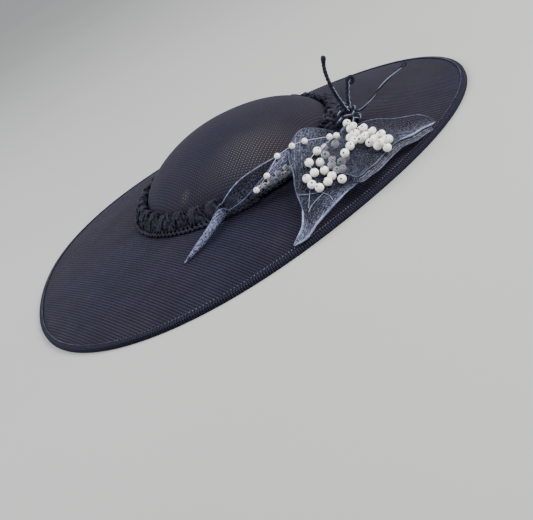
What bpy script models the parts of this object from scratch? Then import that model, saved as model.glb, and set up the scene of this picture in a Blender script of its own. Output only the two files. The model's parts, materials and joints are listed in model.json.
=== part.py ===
"""Saucer fascinator: an oval mesh-straw saucer with a low dome crown, gathered braid, petals and pearls.

Metres, +Z up. The hat rests on the flat foot of its hem at z = 0. +X runs along the oval's long axis and
the trimming sits on the -Y side.
"""
import math

import bmesh
import bpy
from mathutils import Vector

# Clearance that touching pieces keep
GAP = 0.0003

# Brim
BRIM_LENGTH = 0.448
BRIM_WIDTH = 0.418
BRIM_WALL = 0.0015
BRIM_RISE = 0.0190
BRIM_DROOP = 1.8
BRIM_LEDGE = 0.0030
# How the rim departs from a plain oval, as shares of its radius: waves round the rim, cosine, sine
RIM_WAVES = (
    (1, -0.049, 0.0),
    (3, 0.053, -0.0035),
    (4, -0.011, 0.004),
)

# Hem
HEM_WALL = 0.0009
HEM_WIDTH = 0.0120
HEM_LIP = 0.0045
HEM_FOOT = 0.0032
HEM_ROUND = 0.0008

# Crown
CROWN_LENGTH = 0.186
CROWN_WIDTH = 0.204
CROWN_HEIGHT = 0.0450
CROWN_COLLAR = 0.0040
CROWN_WALL = 0.0015
CROWN_FULLNESS = 1.8
CROWN_SHIFT = 0.005

# Braid round the crown's foot
BRAID_WIDTH = 0.0115
BRAID_HEIGHT = 0.0150
BRAID_LEAN = 0.0030
BRAID_PUFF = 0.0190
BRAID_PINCH = 0.28

# Rosette of looped braid beside the crown
ROSETTE_ANGLE = -35.0
ROSETTE_LENGTH = 0.0400
ROSETTE_WIDTH = 0.0280
ROSETTE_HEIGHT = 0.0170
ROSETTE_LOOPS = 7
ROSETTE_SCALLOP = 0.06
ROSETTE_BLUNT = 0.75

# Petals
PETAL_WALL = 0.0010
FRONT_LENGTH = 0.1456
FRONT_SEAT = -115.0
FRONT_HEADING = -126.0
RIGHT_LENGTH = 0.0767
RIGHT_SEAT = -95.0
RIGHT_HEADING = -39.6
LEFT_LENGTH = 0.1703
LEFT_SEAT = -125.0
LEFT_HEADING = -159.9
ROLL_BACK_LIP = -240.0

# Edges of the two open petals, as shares of the petal's length
# (first edge along, side, lift, middle lift, second edge along, side, lift)
FRONT_ROWS = (
    (-0.005, -0.02, 0.050, 0.045, -0.005, 0.02, 0.040),
    (0.22, -0.07, 0.205, 0.100, 0.18, 0.09, 0.045),
    (0.44, -0.09, 0.198, 0.078, 0.37, 0.19, 0.048),
    (0.58, -0.05, 0.137, 0.074, 0.49, 0.25, 0.062),
    (0.64, -0.04, 0.113, 0.078, 0.59, 0.29, 0.076),
    (0.70, -0.02, 0.093, 0.080, 0.70, 0.23, 0.076),
    (0.76, 0.01, 0.082, 0.076, 0.81, 0.16, 0.062),
    (0.82, 0.03, 0.067, 0.066, 0.88, 0.11, 0.048),
    (0.91, 0.035, 0.047, 0.042, 0.96, 0.07, 0.034),
    (0.995, -0.004, 0.021, 0.021, 1.00, 0.004, 0.021),
)
RIGHT_ROWS = (
    (0.31, -1.11, 0.228, 0.238, 0.21, -1.03, 0.248),
    (0.46, -1.15, 0.215, 0.236, 0.12, -0.84, 0.267),
    (0.57, -1.18, 0.209, 0.228, 0.11, -0.67, 0.256),
    (0.62, -1.04, 0.189, 0.212, 0.16, -0.50, 0.241),
    (0.67, -0.94, 0.183, 0.188, 0.16, -0.22, 0.205),
    (0.71, -0.72, 0.159, 0.165, 0.05, -0.12, 0.120),
    (0.74, -0.60, 0.148, 0.148, 0.00, 0.01, 0.060),
    (0.78, -0.49, 0.135, 0.130, 0.34, 0.00, 0.120),
    (0.87, -0.36, 0.111, 0.105, 0.55, -0.01, 0.108),
    (0.92, -0.21, 0.085, 0.080, 0.68, 0.06, 0.082),
    (0.97, -0.11, 0.065, 0.064, 0.81, 0.11, 0.065),
    (1.00, -0.03, 0.052, 0.052, 0.98, 0.02, 0.052),
)
# Rolled petal, as shares of its length (along, side, radius, lift of the roll's middle) and the front
# lip's angle in degrees, from the near side up
LEFT_ROWS = (
    (0.02, 0.000, 0.012, 0.022, 90),
    (0.10, 0.050, 0.018, 0.060, 92),
    (0.19, 0.090, 0.029, 0.082, 95),
    (0.26, 0.108, 0.043, 0.095, 95),
    (0.33, 0.120, 0.055, 0.102, 92),
    (0.40, 0.117, 0.060, 0.106, 72),
    (0.48, 0.093, 0.060, 0.108, 32),
    (0.56, 0.042, 0.054, 0.098, 0),
    (0.62, 0.005, 0.044, 0.082, -20),
    (0.67, -0.037, 0.030, 0.058, -15),
    (0.72, -0.053, 0.022, 0.041, 15),
    (0.85, -0.013, 0.018, 0.026, 35),
    (0.93, -0.004, 0.015, 0.021, 35),
    (1.00, -0.003, 0.012, 0.016, 35),
)

# Stamens
CORD_RADIUS = 0.0013
FINE_CORD_RADIUS = 0.0009
STAMEN_TALL = 0.0505
STAMEN_SHORT = 0.0250
STAMEN_LONG = 0.0580
STAMEN_LOOP = 0.0036
STAMEN_SET = 0.65

# Pearls
PEARL_RADIUS = 0.0035
SEAM_PEARL_RADIUS = 0.0025
ROLLED_BEAD_RADIUS = 0.0028
ROSETTE_PEARL = (0.72, 0.64)

# Facets
RIM_SIDES = 56
CROWN_SIDES = 42
PUFF_STATIONS = 3
BRAID_SIDES = 6
ROSETTE_SIDES = 28
ROLL_TURNS = 8
PEARL_SIDES = 10
PEARL_RINGS = 5
SMALL_RINGS = 4


def material(name, colour, roughness):
    """One plain Principled material."""
    made = bpy.data.materials.new(name)
    made.use_nodes = True
    shader = made.node_tree.nodes["Principled BSDF"]
    shader.inputs["Base Color"].default_value = (*colour, 1.0)
    shader.inputs["Roughness"].default_value = roughness
    shader.inputs["Metallic"].default_value = 0.0
    return made


def polar(radius, angle):
    """A point in plan at a distance and an angle in radians from the hat's middle."""
    return Vector((radius * math.cos(angle), radius * math.sin(angle)))


def rim_radius(angle):
    """Distance from the hat's middle to the outermost edge."""
    oval = 1.0 / math.hypot(math.cos(angle) / (BRIM_LENGTH / 2), math.sin(angle) / (BRIM_WIDTH / 2))
    wave = sum(c * math.cos(n * angle) + s * math.sin(n * angle) for n, c, s in RIM_WAVES)
    return oval * (1.0 + wave)


def foot_radius(angle, outset=0.0):
    """Distance from the hat's middle to the crown's oval foot, which is shifted along X."""
    half_length = CROWN_LENGTH / 2 + outset
    half_width = CROWN_WIDTH / 2 + outset
    c = math.cos(angle)
    s = math.sin(angle)
    a = (c / half_length) ** 2 + (s / half_width) ** 2
    b = c * CROWN_SHIFT / half_length ** 2
    d = (CROWN_SHIFT / half_length) ** 2 - 1.0
    return (b + math.sqrt(b * b - a * d)) / a


RIM_TOP = BRIM_WALL + GAP + HEM_WALL
FOOT_LEVEL = RIM_TOP + BRIM_RISE


def brim_top(x, y):
    """Height of the brim's upper face at a place in plan."""
    angle = math.atan2(y, x)
    inner = foot_radius(angle)
    share = (math.hypot(x, y) - inner) / (rim_radius(angle) - inner)
    share = min(max(share, 0.0), 1.0)
    return RIM_TOP + BRIM_RISE * (1.0 - share ** BRIM_DROOP)


def smooth_rows(rows, steps):
    """Rows read between the table's rows, on a smooth curve through each column."""
    read = []
    for i in range(len(rows) - 1):
        before = rows[max(i - 1, 0)]
        start = rows[i]
        end = rows[i + 1]
        after = rows[min(i + 2, len(rows) - 1)]
        for k in range(steps):
            t = k / steps
            read.append(tuple(
                0.5 * (2 * b + (c - a) * t + (2 * a - 5 * b + 4 * c - d) * t * t
                       + (3 * b - a - 3 * c + d) * t ** 3)
                for a, b, c, d in zip(before, start, end, after)))
    read.append(tuple(rows[-1]))
    return read


def read_row(rows, share):
    """One row read at a share of the table's length."""
    place = min(max(share, 0.0), 1.0) * (len(rows) - 1)
    index = min(int(place), len(rows) - 2)
    t = place - index
    return tuple(a + (b - a) * t for a, b in zip(rows[index], rows[index + 1]))


def loft(name, rows, around=False, start_cap=False, end_cap=False):
    """A mesh over rows of points; around joins each row's ends, the caps close the first and last row."""
    mesh = bmesh.new()
    rings = [[mesh.verts.new(point) for point in row] for row in rows]
    count = len(rings[0])
    spans = count if around else count - 1
    for low, high in zip(rings, rings[1:]):
        for i in range(spans):
            j = (i + 1) % count
            mesh.faces.new((low[i], low[j], high[j], high[i]))
    if start_cap:
        mesh.faces.new(rings[0])
    if end_cap:
        mesh.faces.new(rings[-1])
    bmesh.ops.recalc_face_normals(mesh, faces=mesh.faces)
    return place_mesh(name, mesh)


def place_mesh(name, mesh):
    """Turns a bmesh into an object of the model's collection."""
    data = bpy.data.meshes.new(name)
    mesh.to_mesh(data)
    mesh.free()
    data.shade_smooth()
    made = bpy.data.objects.new(name, data)
    model.objects.link(made)
    return made


def thicken(piece, wall, offset):
    """Gives an open surface its wall."""
    solid = piece.modifiers.new("Wall", "SOLIDIFY")
    solid.thickness = wall
    solid.offset = offset
    solid.use_even_offset = True


def face_up(piece):
    """Turns a sheet's faces up, so that its wall goes below."""
    if sum(face.normal.z * face.area for face in piece.data.polygons) < 0:
        piece.data.flip_normals()


def make_brim():
    """Curved wall from a ledge under the crown's foot out to the folded edge."""
    edge = HEM_WALL + GAP
    shares = (0.0, 0.26, 0.50, 0.72)
    rows = []
    for i in range(RIM_SIDES):
        angle = math.tau * i / RIM_SIDES
        inner = foot_radius(angle)
        outer = rim_radius(angle)
        radii = [inner - BRIM_LEDGE]
        radii += [inner + (outer - inner) * share for share in shares]
        radii += [outer - HEM_WIDTH, outer - HEM_LIP, outer - edge]
        row = []
        for radius in radii:
            x, y = polar(radius, angle)
            row.append((x, y, brim_top(x, y)))
        rows.append(row)
    rows.append(rows[0])
    brim = loft("brim", rows)
    weld(brim)
    face_up(brim)
    thicken(brim, BRIM_WALL, -1.0)
    return brim


def weld(piece):
    """Joins the seam where a ring of rows meets itself."""
    mesh = bmesh.new()
    mesh.from_mesh(piece.data)
    bmesh.ops.remove_doubles(mesh, verts=mesh.verts, dist=GAP / 10)
    bmesh.ops.recalc_face_normals(mesh, faces=mesh.faces)
    mesh.to_mesh(piece.data)
    mesh.free()
    piece.data.shade_smooth()


def make_hem():
    """Folded edge: a lip above the brim, a round outer fold and a band below with a flat foot."""
    foot_end = HEM_ROUND + HEM_FOOT
    slope_start = foot_end + HEM_WALL
    rows = []
    for i in range(RIM_SIDES):
        angle = math.tau * i / RIM_SIDES
        outer = rim_radius(angle)

        def over(depth):
            return brim_top(*polar(outer - depth, angle))

        def under(depth):
            return over(depth) - BRIM_WALL

        section = (
            (HEM_ROUND, 0.0),
            (0.0, HEM_ROUND),
            (0.0, RIM_TOP + GAP + HEM_WALL - HEM_ROUND),
            (HEM_ROUND, over(HEM_ROUND) + GAP + HEM_WALL),
            (HEM_LIP, over(HEM_LIP) + GAP + HEM_WALL),
            (HEM_LIP, over(HEM_LIP) + GAP),
            (HEM_WALL, over(HEM_WALL) + GAP),
            (HEM_WALL, under(HEM_WALL) - GAP),
            (HEM_WIDTH, under(HEM_WIDTH) - GAP),
            (HEM_WIDTH, under(HEM_WIDTH) - GAP - HEM_WALL),
            (slope_start, under(slope_start) - GAP - HEM_WALL),
            (foot_end, 0.0),
        )
        row = []
        for depth, height in section:
            x, y = polar(outer - depth, angle)
            row.append((x, y, height))
        rows.append(row)
    rows.append(rows[0])
    hem = loft("brim_hem", rows, around=True)
    weld(hem)
    return hem


def make_crown():
    """Low dome with a short upright collar at its foot, open below."""
    base = FOOT_LEVEL + GAP
    dome = CROWN_HEIGHT - CROWN_COLLAR
    turns = (0, 17, 34, 50, 64, 76, 86)
    levels = [(1.0, base)]
    for turn in turns:
        out = math.cos(math.radians(turn)) ** (2 / CROWN_FULLNESS)
        up = math.sin(math.radians(turn)) ** (2 / CROWN_FULLNESS)
        levels.append((out, base + CROWN_COLLAR + dome * up))
    rows = []
    for out, height in levels:
        row = []
        for i in range(CROWN_SIDES):
            angle = math.tau * i / CROWN_SIDES
            x = CROWN_SHIFT + out * CROWN_LENGTH / 2 * math.cos(angle)
            y = out * CROWN_WIDTH / 2 * math.sin(angle)
            row.append((x, y, height))
        rows.append(row)
    crown = loft("crown", rows, around=True, end_cap=True)
    face_up(crown)
    thicken(crown, CROWN_WALL, -1.0)
    return crown


def foot_place(degrees, outset):
    """A place beside the crown's foot and the way out from it, by the oval's own angle."""
    angle = math.radians(degrees)
    half_length = CROWN_LENGTH / 2
    half_width = CROWN_WIDTH / 2
    foot = Vector((CROWN_SHIFT + half_length * math.cos(angle), half_width * math.sin(angle)))
    outward = Vector((math.cos(angle) / half_length, math.sin(angle) / half_width)).normalized()
    return foot + outward * outset, outward


def make_crown_braid():
    """Gathered gimp in soft puffs round the crown's foot, from one side of the rosette to the other."""
    girth = math.pi * (CROWN_LENGTH + CROWN_WIDTH + 2 * BRAID_WIDTH) / 2
    reach = (ROSETTE_LENGTH / 2 + 2 * GAP) / girth * 360.0
    puffs = round(girth * (1.0 - reach / 180.0) / BRAID_PUFF)
    stations = PUFF_STATIONS * puffs
    base = FOOT_LEVEL + GAP
    rows = []
    for i in range(stations + 1):
        degrees = ROSETTE_ANGLE + reach + (360.0 - 2 * reach) * i / stations
        middle, outward = foot_place(degrees, 2 * GAP + BRAID_WIDTH / 2)
        swell = 1.0 - BRAID_PINCH * (0.5 + 0.5 * math.cos(math.tau * i / PUFF_STATIONS)) ** 2
        row = []
        for k in range(BRAID_SIDES):
            turn = math.tau * (k + 0.5) / BRAID_SIDES
            out = BRAID_WIDTH / 2 * swell * math.cos(turn) - BRAID_LEAN * math.sin(turn)
            aside = middle + outward * out
            row.append((aside.x, aside.y, base + BRAID_HEIGHT / 2 * swell * (1 + math.sin(turn))))
        rows.append(row)
    return loft("crown_braid", rows, around=True, start_cap=True, end_cap=True)


def rosette_frame():
    """Where the rosette stands against the crown's foot, the way along the foot and the way out from it."""
    middle, outward = foot_place(ROSETTE_ANGLE, 2 * GAP + ROSETTE_WIDTH / 2)
    return middle, Vector((outward.y, -outward.x)), outward


def rosette_reach(angle):
    """Distance from the rosette's middle to its oval outline."""
    along = rosette_frame()[1]
    outward = rosette_frame()[2]
    way = polar(1.0, angle)
    return 1.0 / math.hypot(way.dot(along) / (ROSETTE_LENGTH / 2), way.dot(outward) / (ROSETTE_WIDTH / 2))


ROSETTE_BASE = FOOT_LEVEL + GAP


def make_rosette():
    """Domed knot with a scalloped outline, one scallop for each loop of braid."""
    middle = rosette_frame()[0]
    rows = []
    for turn in (0, 22, 42, 60, 76):
        out = math.cos(math.radians(turn)) ** ROSETTE_BLUNT
        up = math.sin(math.radians(turn)) ** ROSETTE_BLUNT
        row = []
        for i in range(ROSETTE_SIDES):
            angle = math.tau * i / ROSETTE_SIDES
            scallop = 1.0 - ROSETTE_SCALLOP * math.cos(ROSETTE_LOOPS * angle / 2) ** 2
            point = middle + polar(rosette_reach(angle) * out * scallop, angle)
            row.append((point.x, point.y, ROSETTE_BASE + ROSETTE_HEIGHT * up))
        rows.append(row)
    return loft("rosette", rows, around=True, start_cap=True, end_cap=True)


def petal_frame(seat, heading):
    """A petal's root on the rosette's side, its heading and its side direction, in plan."""
    angle = math.radians(seat)
    root = rosette_frame()[0] + polar(rosette_reach(angle) + GAP, angle)
    ahead = polar(1.0, math.radians(heading))
    return root, ahead, Vector((-ahead.y, ahead.x))


def on_petal(frame, length, row, across):
    """A point of an open petal, across from -1 at the first edge to 1 at the second."""
    root, ahead, side = frame
    first_along, first_side, first_lift, middle_lift, second_along, second_side, second_lift = row
    share = (across + 1.0) / 2.0
    along = first_along + (second_along - first_along) * share
    aside = first_side + (second_side - first_side) * share
    arch = middle_lift - (first_lift + second_lift) / 2.0
    lift = first_lift + (second_lift - first_lift) * share + arch * (1.0 - across * across)
    place = root + ahead * (along * length) + side * (aside * length)
    return Vector((place.x, place.y, brim_top(place.x, place.y) + lift * length))


def make_open_petal(name, frame, length, rows):
    """Thin pointed sheet between the two edges of its table."""
    acrosses = (-1.0, -0.5, 0.0, 0.5, 1.0)
    grid = [[on_petal(frame, length, row, across) for across in acrosses] for row in smooth_rows(rows, 2)]
    petal = loft(name, grid)
    face_up(petal)
    thicken(petal, PETAL_WALL, 0.0)
    return petal


def on_roll(row, degrees, outset):
    """A point on the rolled petal, by its angle from the near side and its distance off the wall."""
    root, ahead, side = petal_frame(LEFT_SEAT, LEFT_HEADING)
    along, aside, radius, lift, lip = row
    middle = root + ahead * (along * LEFT_LENGTH) + side * (aside * LEFT_LENGTH)
    reach = radius * LEFT_LENGTH + outset
    turn = math.radians(degrees)
    near = middle + side * (reach * math.cos(turn))
    height = brim_top(middle.x, middle.y) + lift * LEFT_LENGTH + reach * math.sin(turn)
    return Vector((near.x, near.y, height))


def make_left_petal():
    """Long sheet rolled into a cone that is open along its top and runs out to a thin tail."""
    rows = []
    for row in smooth_rows(LEFT_ROWS, 2):
        lip = row[4]
        turns = [lip + (ROLL_BACK_LIP - lip) * k / ROLL_TURNS for k in range(ROLL_TURNS + 1)]
        rows.append([on_roll(row, turn, 0.0) for turn in turns])
    petal = loft("left_petal", rows)
    middle = on_roll(LEFT_ROWS[5], 0.0, 0.0)
    outer = [face for face in petal.data.polygons if (face.center - middle).length < 0.006]
    if sum(face.normal.y for face in outer) > 0:
        petal.data.flip_normals()
    thicken(petal, PETAL_WALL, -1.0)
    return petal


def tube(name, points, radius, swell=None):
    """Round cord through the points, each with its own share of the radius."""
    curve = bpy.data.curves.new(name, "CURVE")
    curve.dimensions = "3D"
    curve.bevel_depth = radius
    curve.bevel_resolution = 1
    curve.use_fill_caps = True
    spline = curve.splines.new("POLY")
    spline.points.add(len(points) - 1)
    for index, (spot, point) in enumerate(zip(spline.points, points)):
        spot.co = (*point, 1.0)
        spot.radius = swell[index] if swell else 1.0
    made = bpy.data.objects.new(name, curve)
    model.objects.link(made)
    return made


def on_rosette(along, outward):
    """A point of the rosette's domed top, from shares of its half length and half width."""
    middle, along_way, outward_way = rosette_frame()
    place = middle + along_way * (along * ROSETTE_LENGTH / 2) + outward_way * (outward * ROSETTE_WIDTH / 2)
    turn = math.acos(min(math.hypot(along, outward), 0.99) ** (1.0 / ROSETTE_BLUNT))
    return Vector((place.x, place.y, ROSETTE_BASE + ROSETTE_HEIGHT * math.sin(turn) ** ROSETTE_BLUNT))


def rosette_place(along, outward, off):
    """A place off the rosette's domed top."""
    step = 0.01
    here = on_rosette(along, outward)
    over = on_rosette(along + step, outward) - here
    out = on_rosette(along, outward + step) - here
    normal = over.cross(out).normalized()
    return here + (normal if normal.z > 0 else -normal) * off


# Stamens' routes: up, along X and towards the viewer, as shares of each one's length
TALL_ROUTE = (
    (0.00, 0.00, 0.00),
    (0.28, -0.04, 0.00),
    (0.52, -0.05, 0.00),
    (0.80, -0.02, 0.00),
    (1.00, 0.06, 0.00),
)
SHORT_ROUTE = (
    (0.00, 0.00, 0.00),
    (0.42, 0.15, 0.00),
    (0.85, 0.38, 0.00),
)
LONG_ROUTE = (
    (0.00, 0.00, 0.00),
    (-0.02, 0.12, 0.05),
    (0.04, 0.29, 0.07),
    (0.12, 0.49, 0.07),
    (0.19, 0.74, 0.07),
    (0.23, 0.97, 0.07),
)


def route_points(root, length, route, steps):
    """Points of a stamen's smooth route."""
    return [root + Vector((x * length, -near * length, up * length))
            for up, x, near in smooth_rows(route, steps)]


def make_stamens():
    """Three dark cords that stand up out of the rosette, the short one ending in a curl."""
    tall = route_points(rosette_place(0.16, 0.79, CORD_RADIUS * STAMEN_SET), STAMEN_TALL, TALL_ROUTE, 2)
    swell = [1.0] * (len(tall) - 2) + [1.4, 1.2]
    tube("stamen_tall", tall, CORD_RADIUS, swell)

    stem = route_points(rosette_place(-0.10, 0.80, CORD_RADIUS * STAMEN_SET), STAMEN_SHORT, SHORT_ROUTE, 2)
    curl = [Vector((math.cos(turn), 0.0, math.sin(turn))) * STAMEN_LOOP
            for turn in (math.radians(175 - 32 * k) for k in range(10))]
    centre = stem[-1] - curl[0]
    tube("stamen_short", stem + [centre + way for way in curl[1:]], CORD_RADIUS)

    reach = route_points(rosette_place(-0.14, 0.92, CORD_RADIUS * STAMEN_SET), STAMEN_LONG, LONG_ROUTE, 2)
    tube("stamen_long", reach, FINE_CORD_RADIUS)


def beads(names, centres, radius, rings):
    """Round beads, one node each."""
    for name, centre in zip(names, centres):
        mesh = bmesh.new()
        bmesh.ops.create_uvsphere(mesh, u_segments=PEARL_SIDES, v_segments=rings, radius=radius)
        bmesh.ops.translate(mesh, vec=centre, verts=mesh.verts)
        place_mesh(name, mesh)


def fused_beads(name, centres, radius, rings):
    """A field of touching beads joined into one body."""
    names = [f"{name}_bead_{n:02d}" for n in range(1, len(centres))]
    beads([name] + names, centres, radius, rings)
    joined = bpy.data.collections.new(name + "_beads")
    cutters.children.link(joined)
    for bead_name in names:
        bead = bpy.data.objects[bead_name]
        model.objects.unlink(bead)
        joined.objects.link(bead)
        bead.hide_render = True
        bead.display_type = "WIRE"
    join = bpy.data.objects[name].modifiers.new("Beads", "BOOLEAN")
    join.operation = "UNION"
    join.solver = "EXACT"
    join.operand_type = "COLLECTION"
    join.collection = joined


def surface_place(frame, length, rows, share, across, off):
    """A place off a petal's upper face."""
    step = 0.01
    here = on_petal(frame, length, read_row(rows, share), across)
    ahead = on_petal(frame, length, read_row(rows, share + step), across)
    aside = on_petal(frame, length, read_row(rows, share), across + step)
    normal = (ahead - here).cross(aside - here).normalized()
    if normal.z < 0:
        normal = -normal
    return here + normal * off


def on_front(share, across, off):
    """A place off the front petal's upper face."""
    return surface_place(petal_frame(FRONT_SEAT, FRONT_HEADING), FRONT_LENGTH, FRONT_ROWS, share, across, off)


def on_right(share, across, off):
    """A place off the right petal's upper face."""
    return surface_place(petal_frame(RIGHT_SEAT, RIGHT_HEADING), RIGHT_LENGTH, RIGHT_ROWS, share, across, off)


def on_lip(share):
    """A place where a small pearl sits on the rolled petal's front lip."""
    row = read_row(LEFT_ROWS, share)
    radius = row[2] * LEFT_LENGTH
    back = math.degrees(SEAM_PEARL_RADIUS / radius) / 2
    return on_roll(row, row[4] - back, SEAM_PEARL_RADIUS + GAP)


# Pearls on the petals: share along the petal's table, across from -1 to 1
FRONT_PEARLS = (
    (0.20, -0.27),
    (0.28, -0.52),
    (0.27, -0.17),
    (0.35, -0.39),
    (0.33, -0.07),
    (0.41, 0.16),
    (0.42, -0.61),
    (0.49, -0.41),
    (0.53, -0.06),
    (0.47, 0.09),
    (0.46, 0.53),
)
UNDER_PEARLS = (
    (0.15, 0.43),
    (0.21, 0.03),
    (0.27, 0.57),
    (0.29, 0.20),
)
HEAP_PEARLS = (
    (0.35, 0.57),
    (0.47, 0.03),
    (0.49, -0.34),
    (0.52, -0.64),
    (0.54, -0.90),
    (0.31, 0.30),
    (0.36, -0.07),
    (0.41, -0.50),
    (0.43, -0.79),
    (0.46, -1.04),
    (0.27, 0.05),
    (0.21, -0.05),
)
EDGE_PEARLS = (
    (0.21, -0.99),
    (0.17, -0.75),
)
SIDE_PEARLS = (
    (0.26, 0.89),
    (0.22, 1.06),
)
# Small pearls on the rolled petal's lip: share along its table
LIP_PEARLS = (0.535, 0.475, 0.380)
# Beads inside the rolled petal: share along its table, angle in degrees
ROLLED_BEADS = (
    (0.320, -52),
    (0.343, -56),
    (0.366, -60),
    (0.389, -64),
    (0.412, -60),
    (0.435, -64),
    (0.458, -60),
    (0.481, -64),
    (0.504, -68),
    (0.527, -64),
    (0.550, -68),
    (0.573, -72),
)


def make_pearls():
    """Pearls on the petals: single ones, the heap on the right petal and the small ones along the seams."""
    off = PETAL_WALL / 2 + PEARL_RADIUS + GAP
    small_off = PETAL_WALL / 2 + SEAM_PEARL_RADIUS + GAP
    single = [on_front(share, across, off + GAP) for share, across in FRONT_PEARLS + UNDER_PEARLS]
    single += [on_right(share, across, off) for share, across in HEAP_PEARLS]
    single.append(rosette_place(*ROSETTE_PEARL, PEARL_RADIUS + GAP))
    beads([f"pearl_{n:02d}" for n in range(1, len(single) + 1)], single, PEARL_RADIUS, PEARL_RINGS)

    small = [on_lip(share) for share in LIP_PEARLS]
    small += [on_front(share, across, small_off + GAP) for share, across in EDGE_PEARLS]
    small += [on_right(share, across, small_off) for share, across in SIDE_PEARLS]
    beads([f"seam_pearl_{n:02d}" for n in range(1, len(small) + 1)], small, SEAM_PEARL_RADIUS, SMALL_RINGS)

    inner = -PETAL_WALL - ROLLED_BEAD_RADIUS - 3 * GAP
    rolled = [on_roll(read_row(LEFT_ROWS, share), turn, inner) for share, turn in ROLLED_BEADS]
    fused_beads("rolled_beads", rolled, ROLLED_BEAD_RADIUS, SMALL_RINGS)


# The scene is emptied and the model built
for old in list(bpy.data.objects):
    bpy.data.objects.remove(old)

model = bpy.data.collections.new("saucer_fascinator")
bpy.context.scene.collection.children.link(model)
cutters = bpy.data.collections.new("bead_unions")
bpy.context.scene.collection.children.link(cutters)

STRAW = material("navy mesh straw", (0.020, 0.021, 0.038), 0.75)
BRAID = material("dark gimp braid", (0.010, 0.011, 0.020), 0.80)
CRIN = material("navy crin mesh", (0.035, 0.038, 0.075), 0.45)
PEARL = material("ivory pearl", (0.85, 0.83, 0.78), 0.25)

make_brim()
make_hem()
make_crown()
make_crown_braid()
make_rosette()
make_open_petal("front_petal", petal_frame(FRONT_SEAT, FRONT_HEADING), FRONT_LENGTH, FRONT_ROWS)
make_open_petal("right_petal", petal_frame(RIGHT_SEAT, RIGHT_HEADING), RIGHT_LENGTH, RIGHT_ROWS)
make_left_petal()
make_stamens()
make_pearls()

FINISHES = (
    ("brim", STRAW),
    ("crown", STRAW),
    ("braid", BRAID),
    ("rosette", BRAID),
    ("stamen", BRAID),
    ("petal", CRIN),
    ("pearl", PEARL),
    ("bead", PEARL),
)
for piece in model.objects:
    for word, finish in FINISHES:
        if word in piece.name:
            piece.data.materials.clear()
            piece.data.materials.append(finish)
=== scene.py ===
"""Looks of the saucer fascinator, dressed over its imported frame."""
import json
import math
import random

import bmesh
import bpy
from mathutils import Matrix, Vector, noise

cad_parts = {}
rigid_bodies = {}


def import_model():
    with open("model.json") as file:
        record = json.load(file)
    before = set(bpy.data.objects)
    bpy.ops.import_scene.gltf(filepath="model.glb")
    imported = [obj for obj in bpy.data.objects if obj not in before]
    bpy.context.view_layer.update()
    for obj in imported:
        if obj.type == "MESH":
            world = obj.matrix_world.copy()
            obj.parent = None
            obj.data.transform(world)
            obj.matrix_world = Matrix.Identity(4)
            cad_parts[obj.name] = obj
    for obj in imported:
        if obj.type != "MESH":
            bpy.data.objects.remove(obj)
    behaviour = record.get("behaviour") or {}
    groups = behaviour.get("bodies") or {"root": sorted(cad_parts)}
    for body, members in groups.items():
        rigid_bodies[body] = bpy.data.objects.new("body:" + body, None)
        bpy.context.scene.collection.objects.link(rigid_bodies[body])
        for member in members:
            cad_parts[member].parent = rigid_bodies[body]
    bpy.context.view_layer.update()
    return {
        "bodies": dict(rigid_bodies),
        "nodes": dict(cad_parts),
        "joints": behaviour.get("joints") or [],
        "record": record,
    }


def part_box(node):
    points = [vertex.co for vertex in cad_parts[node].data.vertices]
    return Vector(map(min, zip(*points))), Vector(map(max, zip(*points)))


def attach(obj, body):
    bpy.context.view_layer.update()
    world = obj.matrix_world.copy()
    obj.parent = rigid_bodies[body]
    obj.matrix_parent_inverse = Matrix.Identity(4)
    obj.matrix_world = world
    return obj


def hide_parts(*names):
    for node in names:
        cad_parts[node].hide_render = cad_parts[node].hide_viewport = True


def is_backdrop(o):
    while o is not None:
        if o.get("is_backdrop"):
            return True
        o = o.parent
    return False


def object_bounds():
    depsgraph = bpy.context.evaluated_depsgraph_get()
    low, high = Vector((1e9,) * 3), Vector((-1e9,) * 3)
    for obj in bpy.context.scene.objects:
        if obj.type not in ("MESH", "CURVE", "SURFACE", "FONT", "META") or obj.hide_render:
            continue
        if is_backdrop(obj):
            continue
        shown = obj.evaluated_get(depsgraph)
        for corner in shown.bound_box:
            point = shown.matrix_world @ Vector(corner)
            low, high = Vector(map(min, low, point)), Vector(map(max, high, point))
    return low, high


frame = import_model()

# Clearance that touching pieces keep
GAP = 0.0003

# Brim
BRIM_LENGTH = 0.448
BRIM_WIDTH = 0.418
BRIM_WALL = 0.0015
BRIM_RISE = 0.0190
BRIM_DROOP = 1.8
BRIM_LEDGE = 0.0030
# How the rim departs from a plain oval, as shares of its radius: waves round the rim, cosine, sine
RIM_WAVES = (
    (1, -0.049, 0.0),
    (3, 0.053, -0.0035),
    (4, -0.011, 0.004),
)

# Hem
HEM_WALL = 0.0009
HEM_WIDTH = 0.0120
HEM_LIP = 0.0045
HEM_FOOT = 0.0032
HEM_ROUND = 0.0008

# Crown
CROWN_LENGTH = 0.186
CROWN_WIDTH = 0.204
CROWN_HEIGHT = 0.0450
CROWN_COLLAR = 0.0040
CROWN_WALL = 0.0015
CROWN_FULLNESS = 1.8
CROWN_SHIFT = 0.005

# Braid round the crown's foot
BRAID_WIDTH = 0.0115
BRAID_HEIGHT = 0.0150
BRAID_LEAN = 0.0030
BRAID_PUFF = 0.0190
BRAID_PINCH = 0.28

# Rosette of looped braid beside the crown
ROSETTE_ANGLE = -35.0
ROSETTE_LENGTH = 0.0400
ROSETTE_WIDTH = 0.0280
ROSETTE_HEIGHT = 0.0170
ROSETTE_LOOPS = 7
ROSETTE_SCALLOP = 0.06
ROSETTE_BLUNT = 0.75

# Petals
PETAL_WALL = 0.0010
FRONT_LENGTH = 0.1456
FRONT_SEAT = -115.0
FRONT_HEADING = -126.0
RIGHT_LENGTH = 0.0767
RIGHT_SEAT = -95.0
RIGHT_HEADING = -39.6
LEFT_LENGTH = 0.1703
LEFT_SEAT = -125.0
LEFT_HEADING = -159.9
ROLL_BACK_LIP = -240.0

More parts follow.
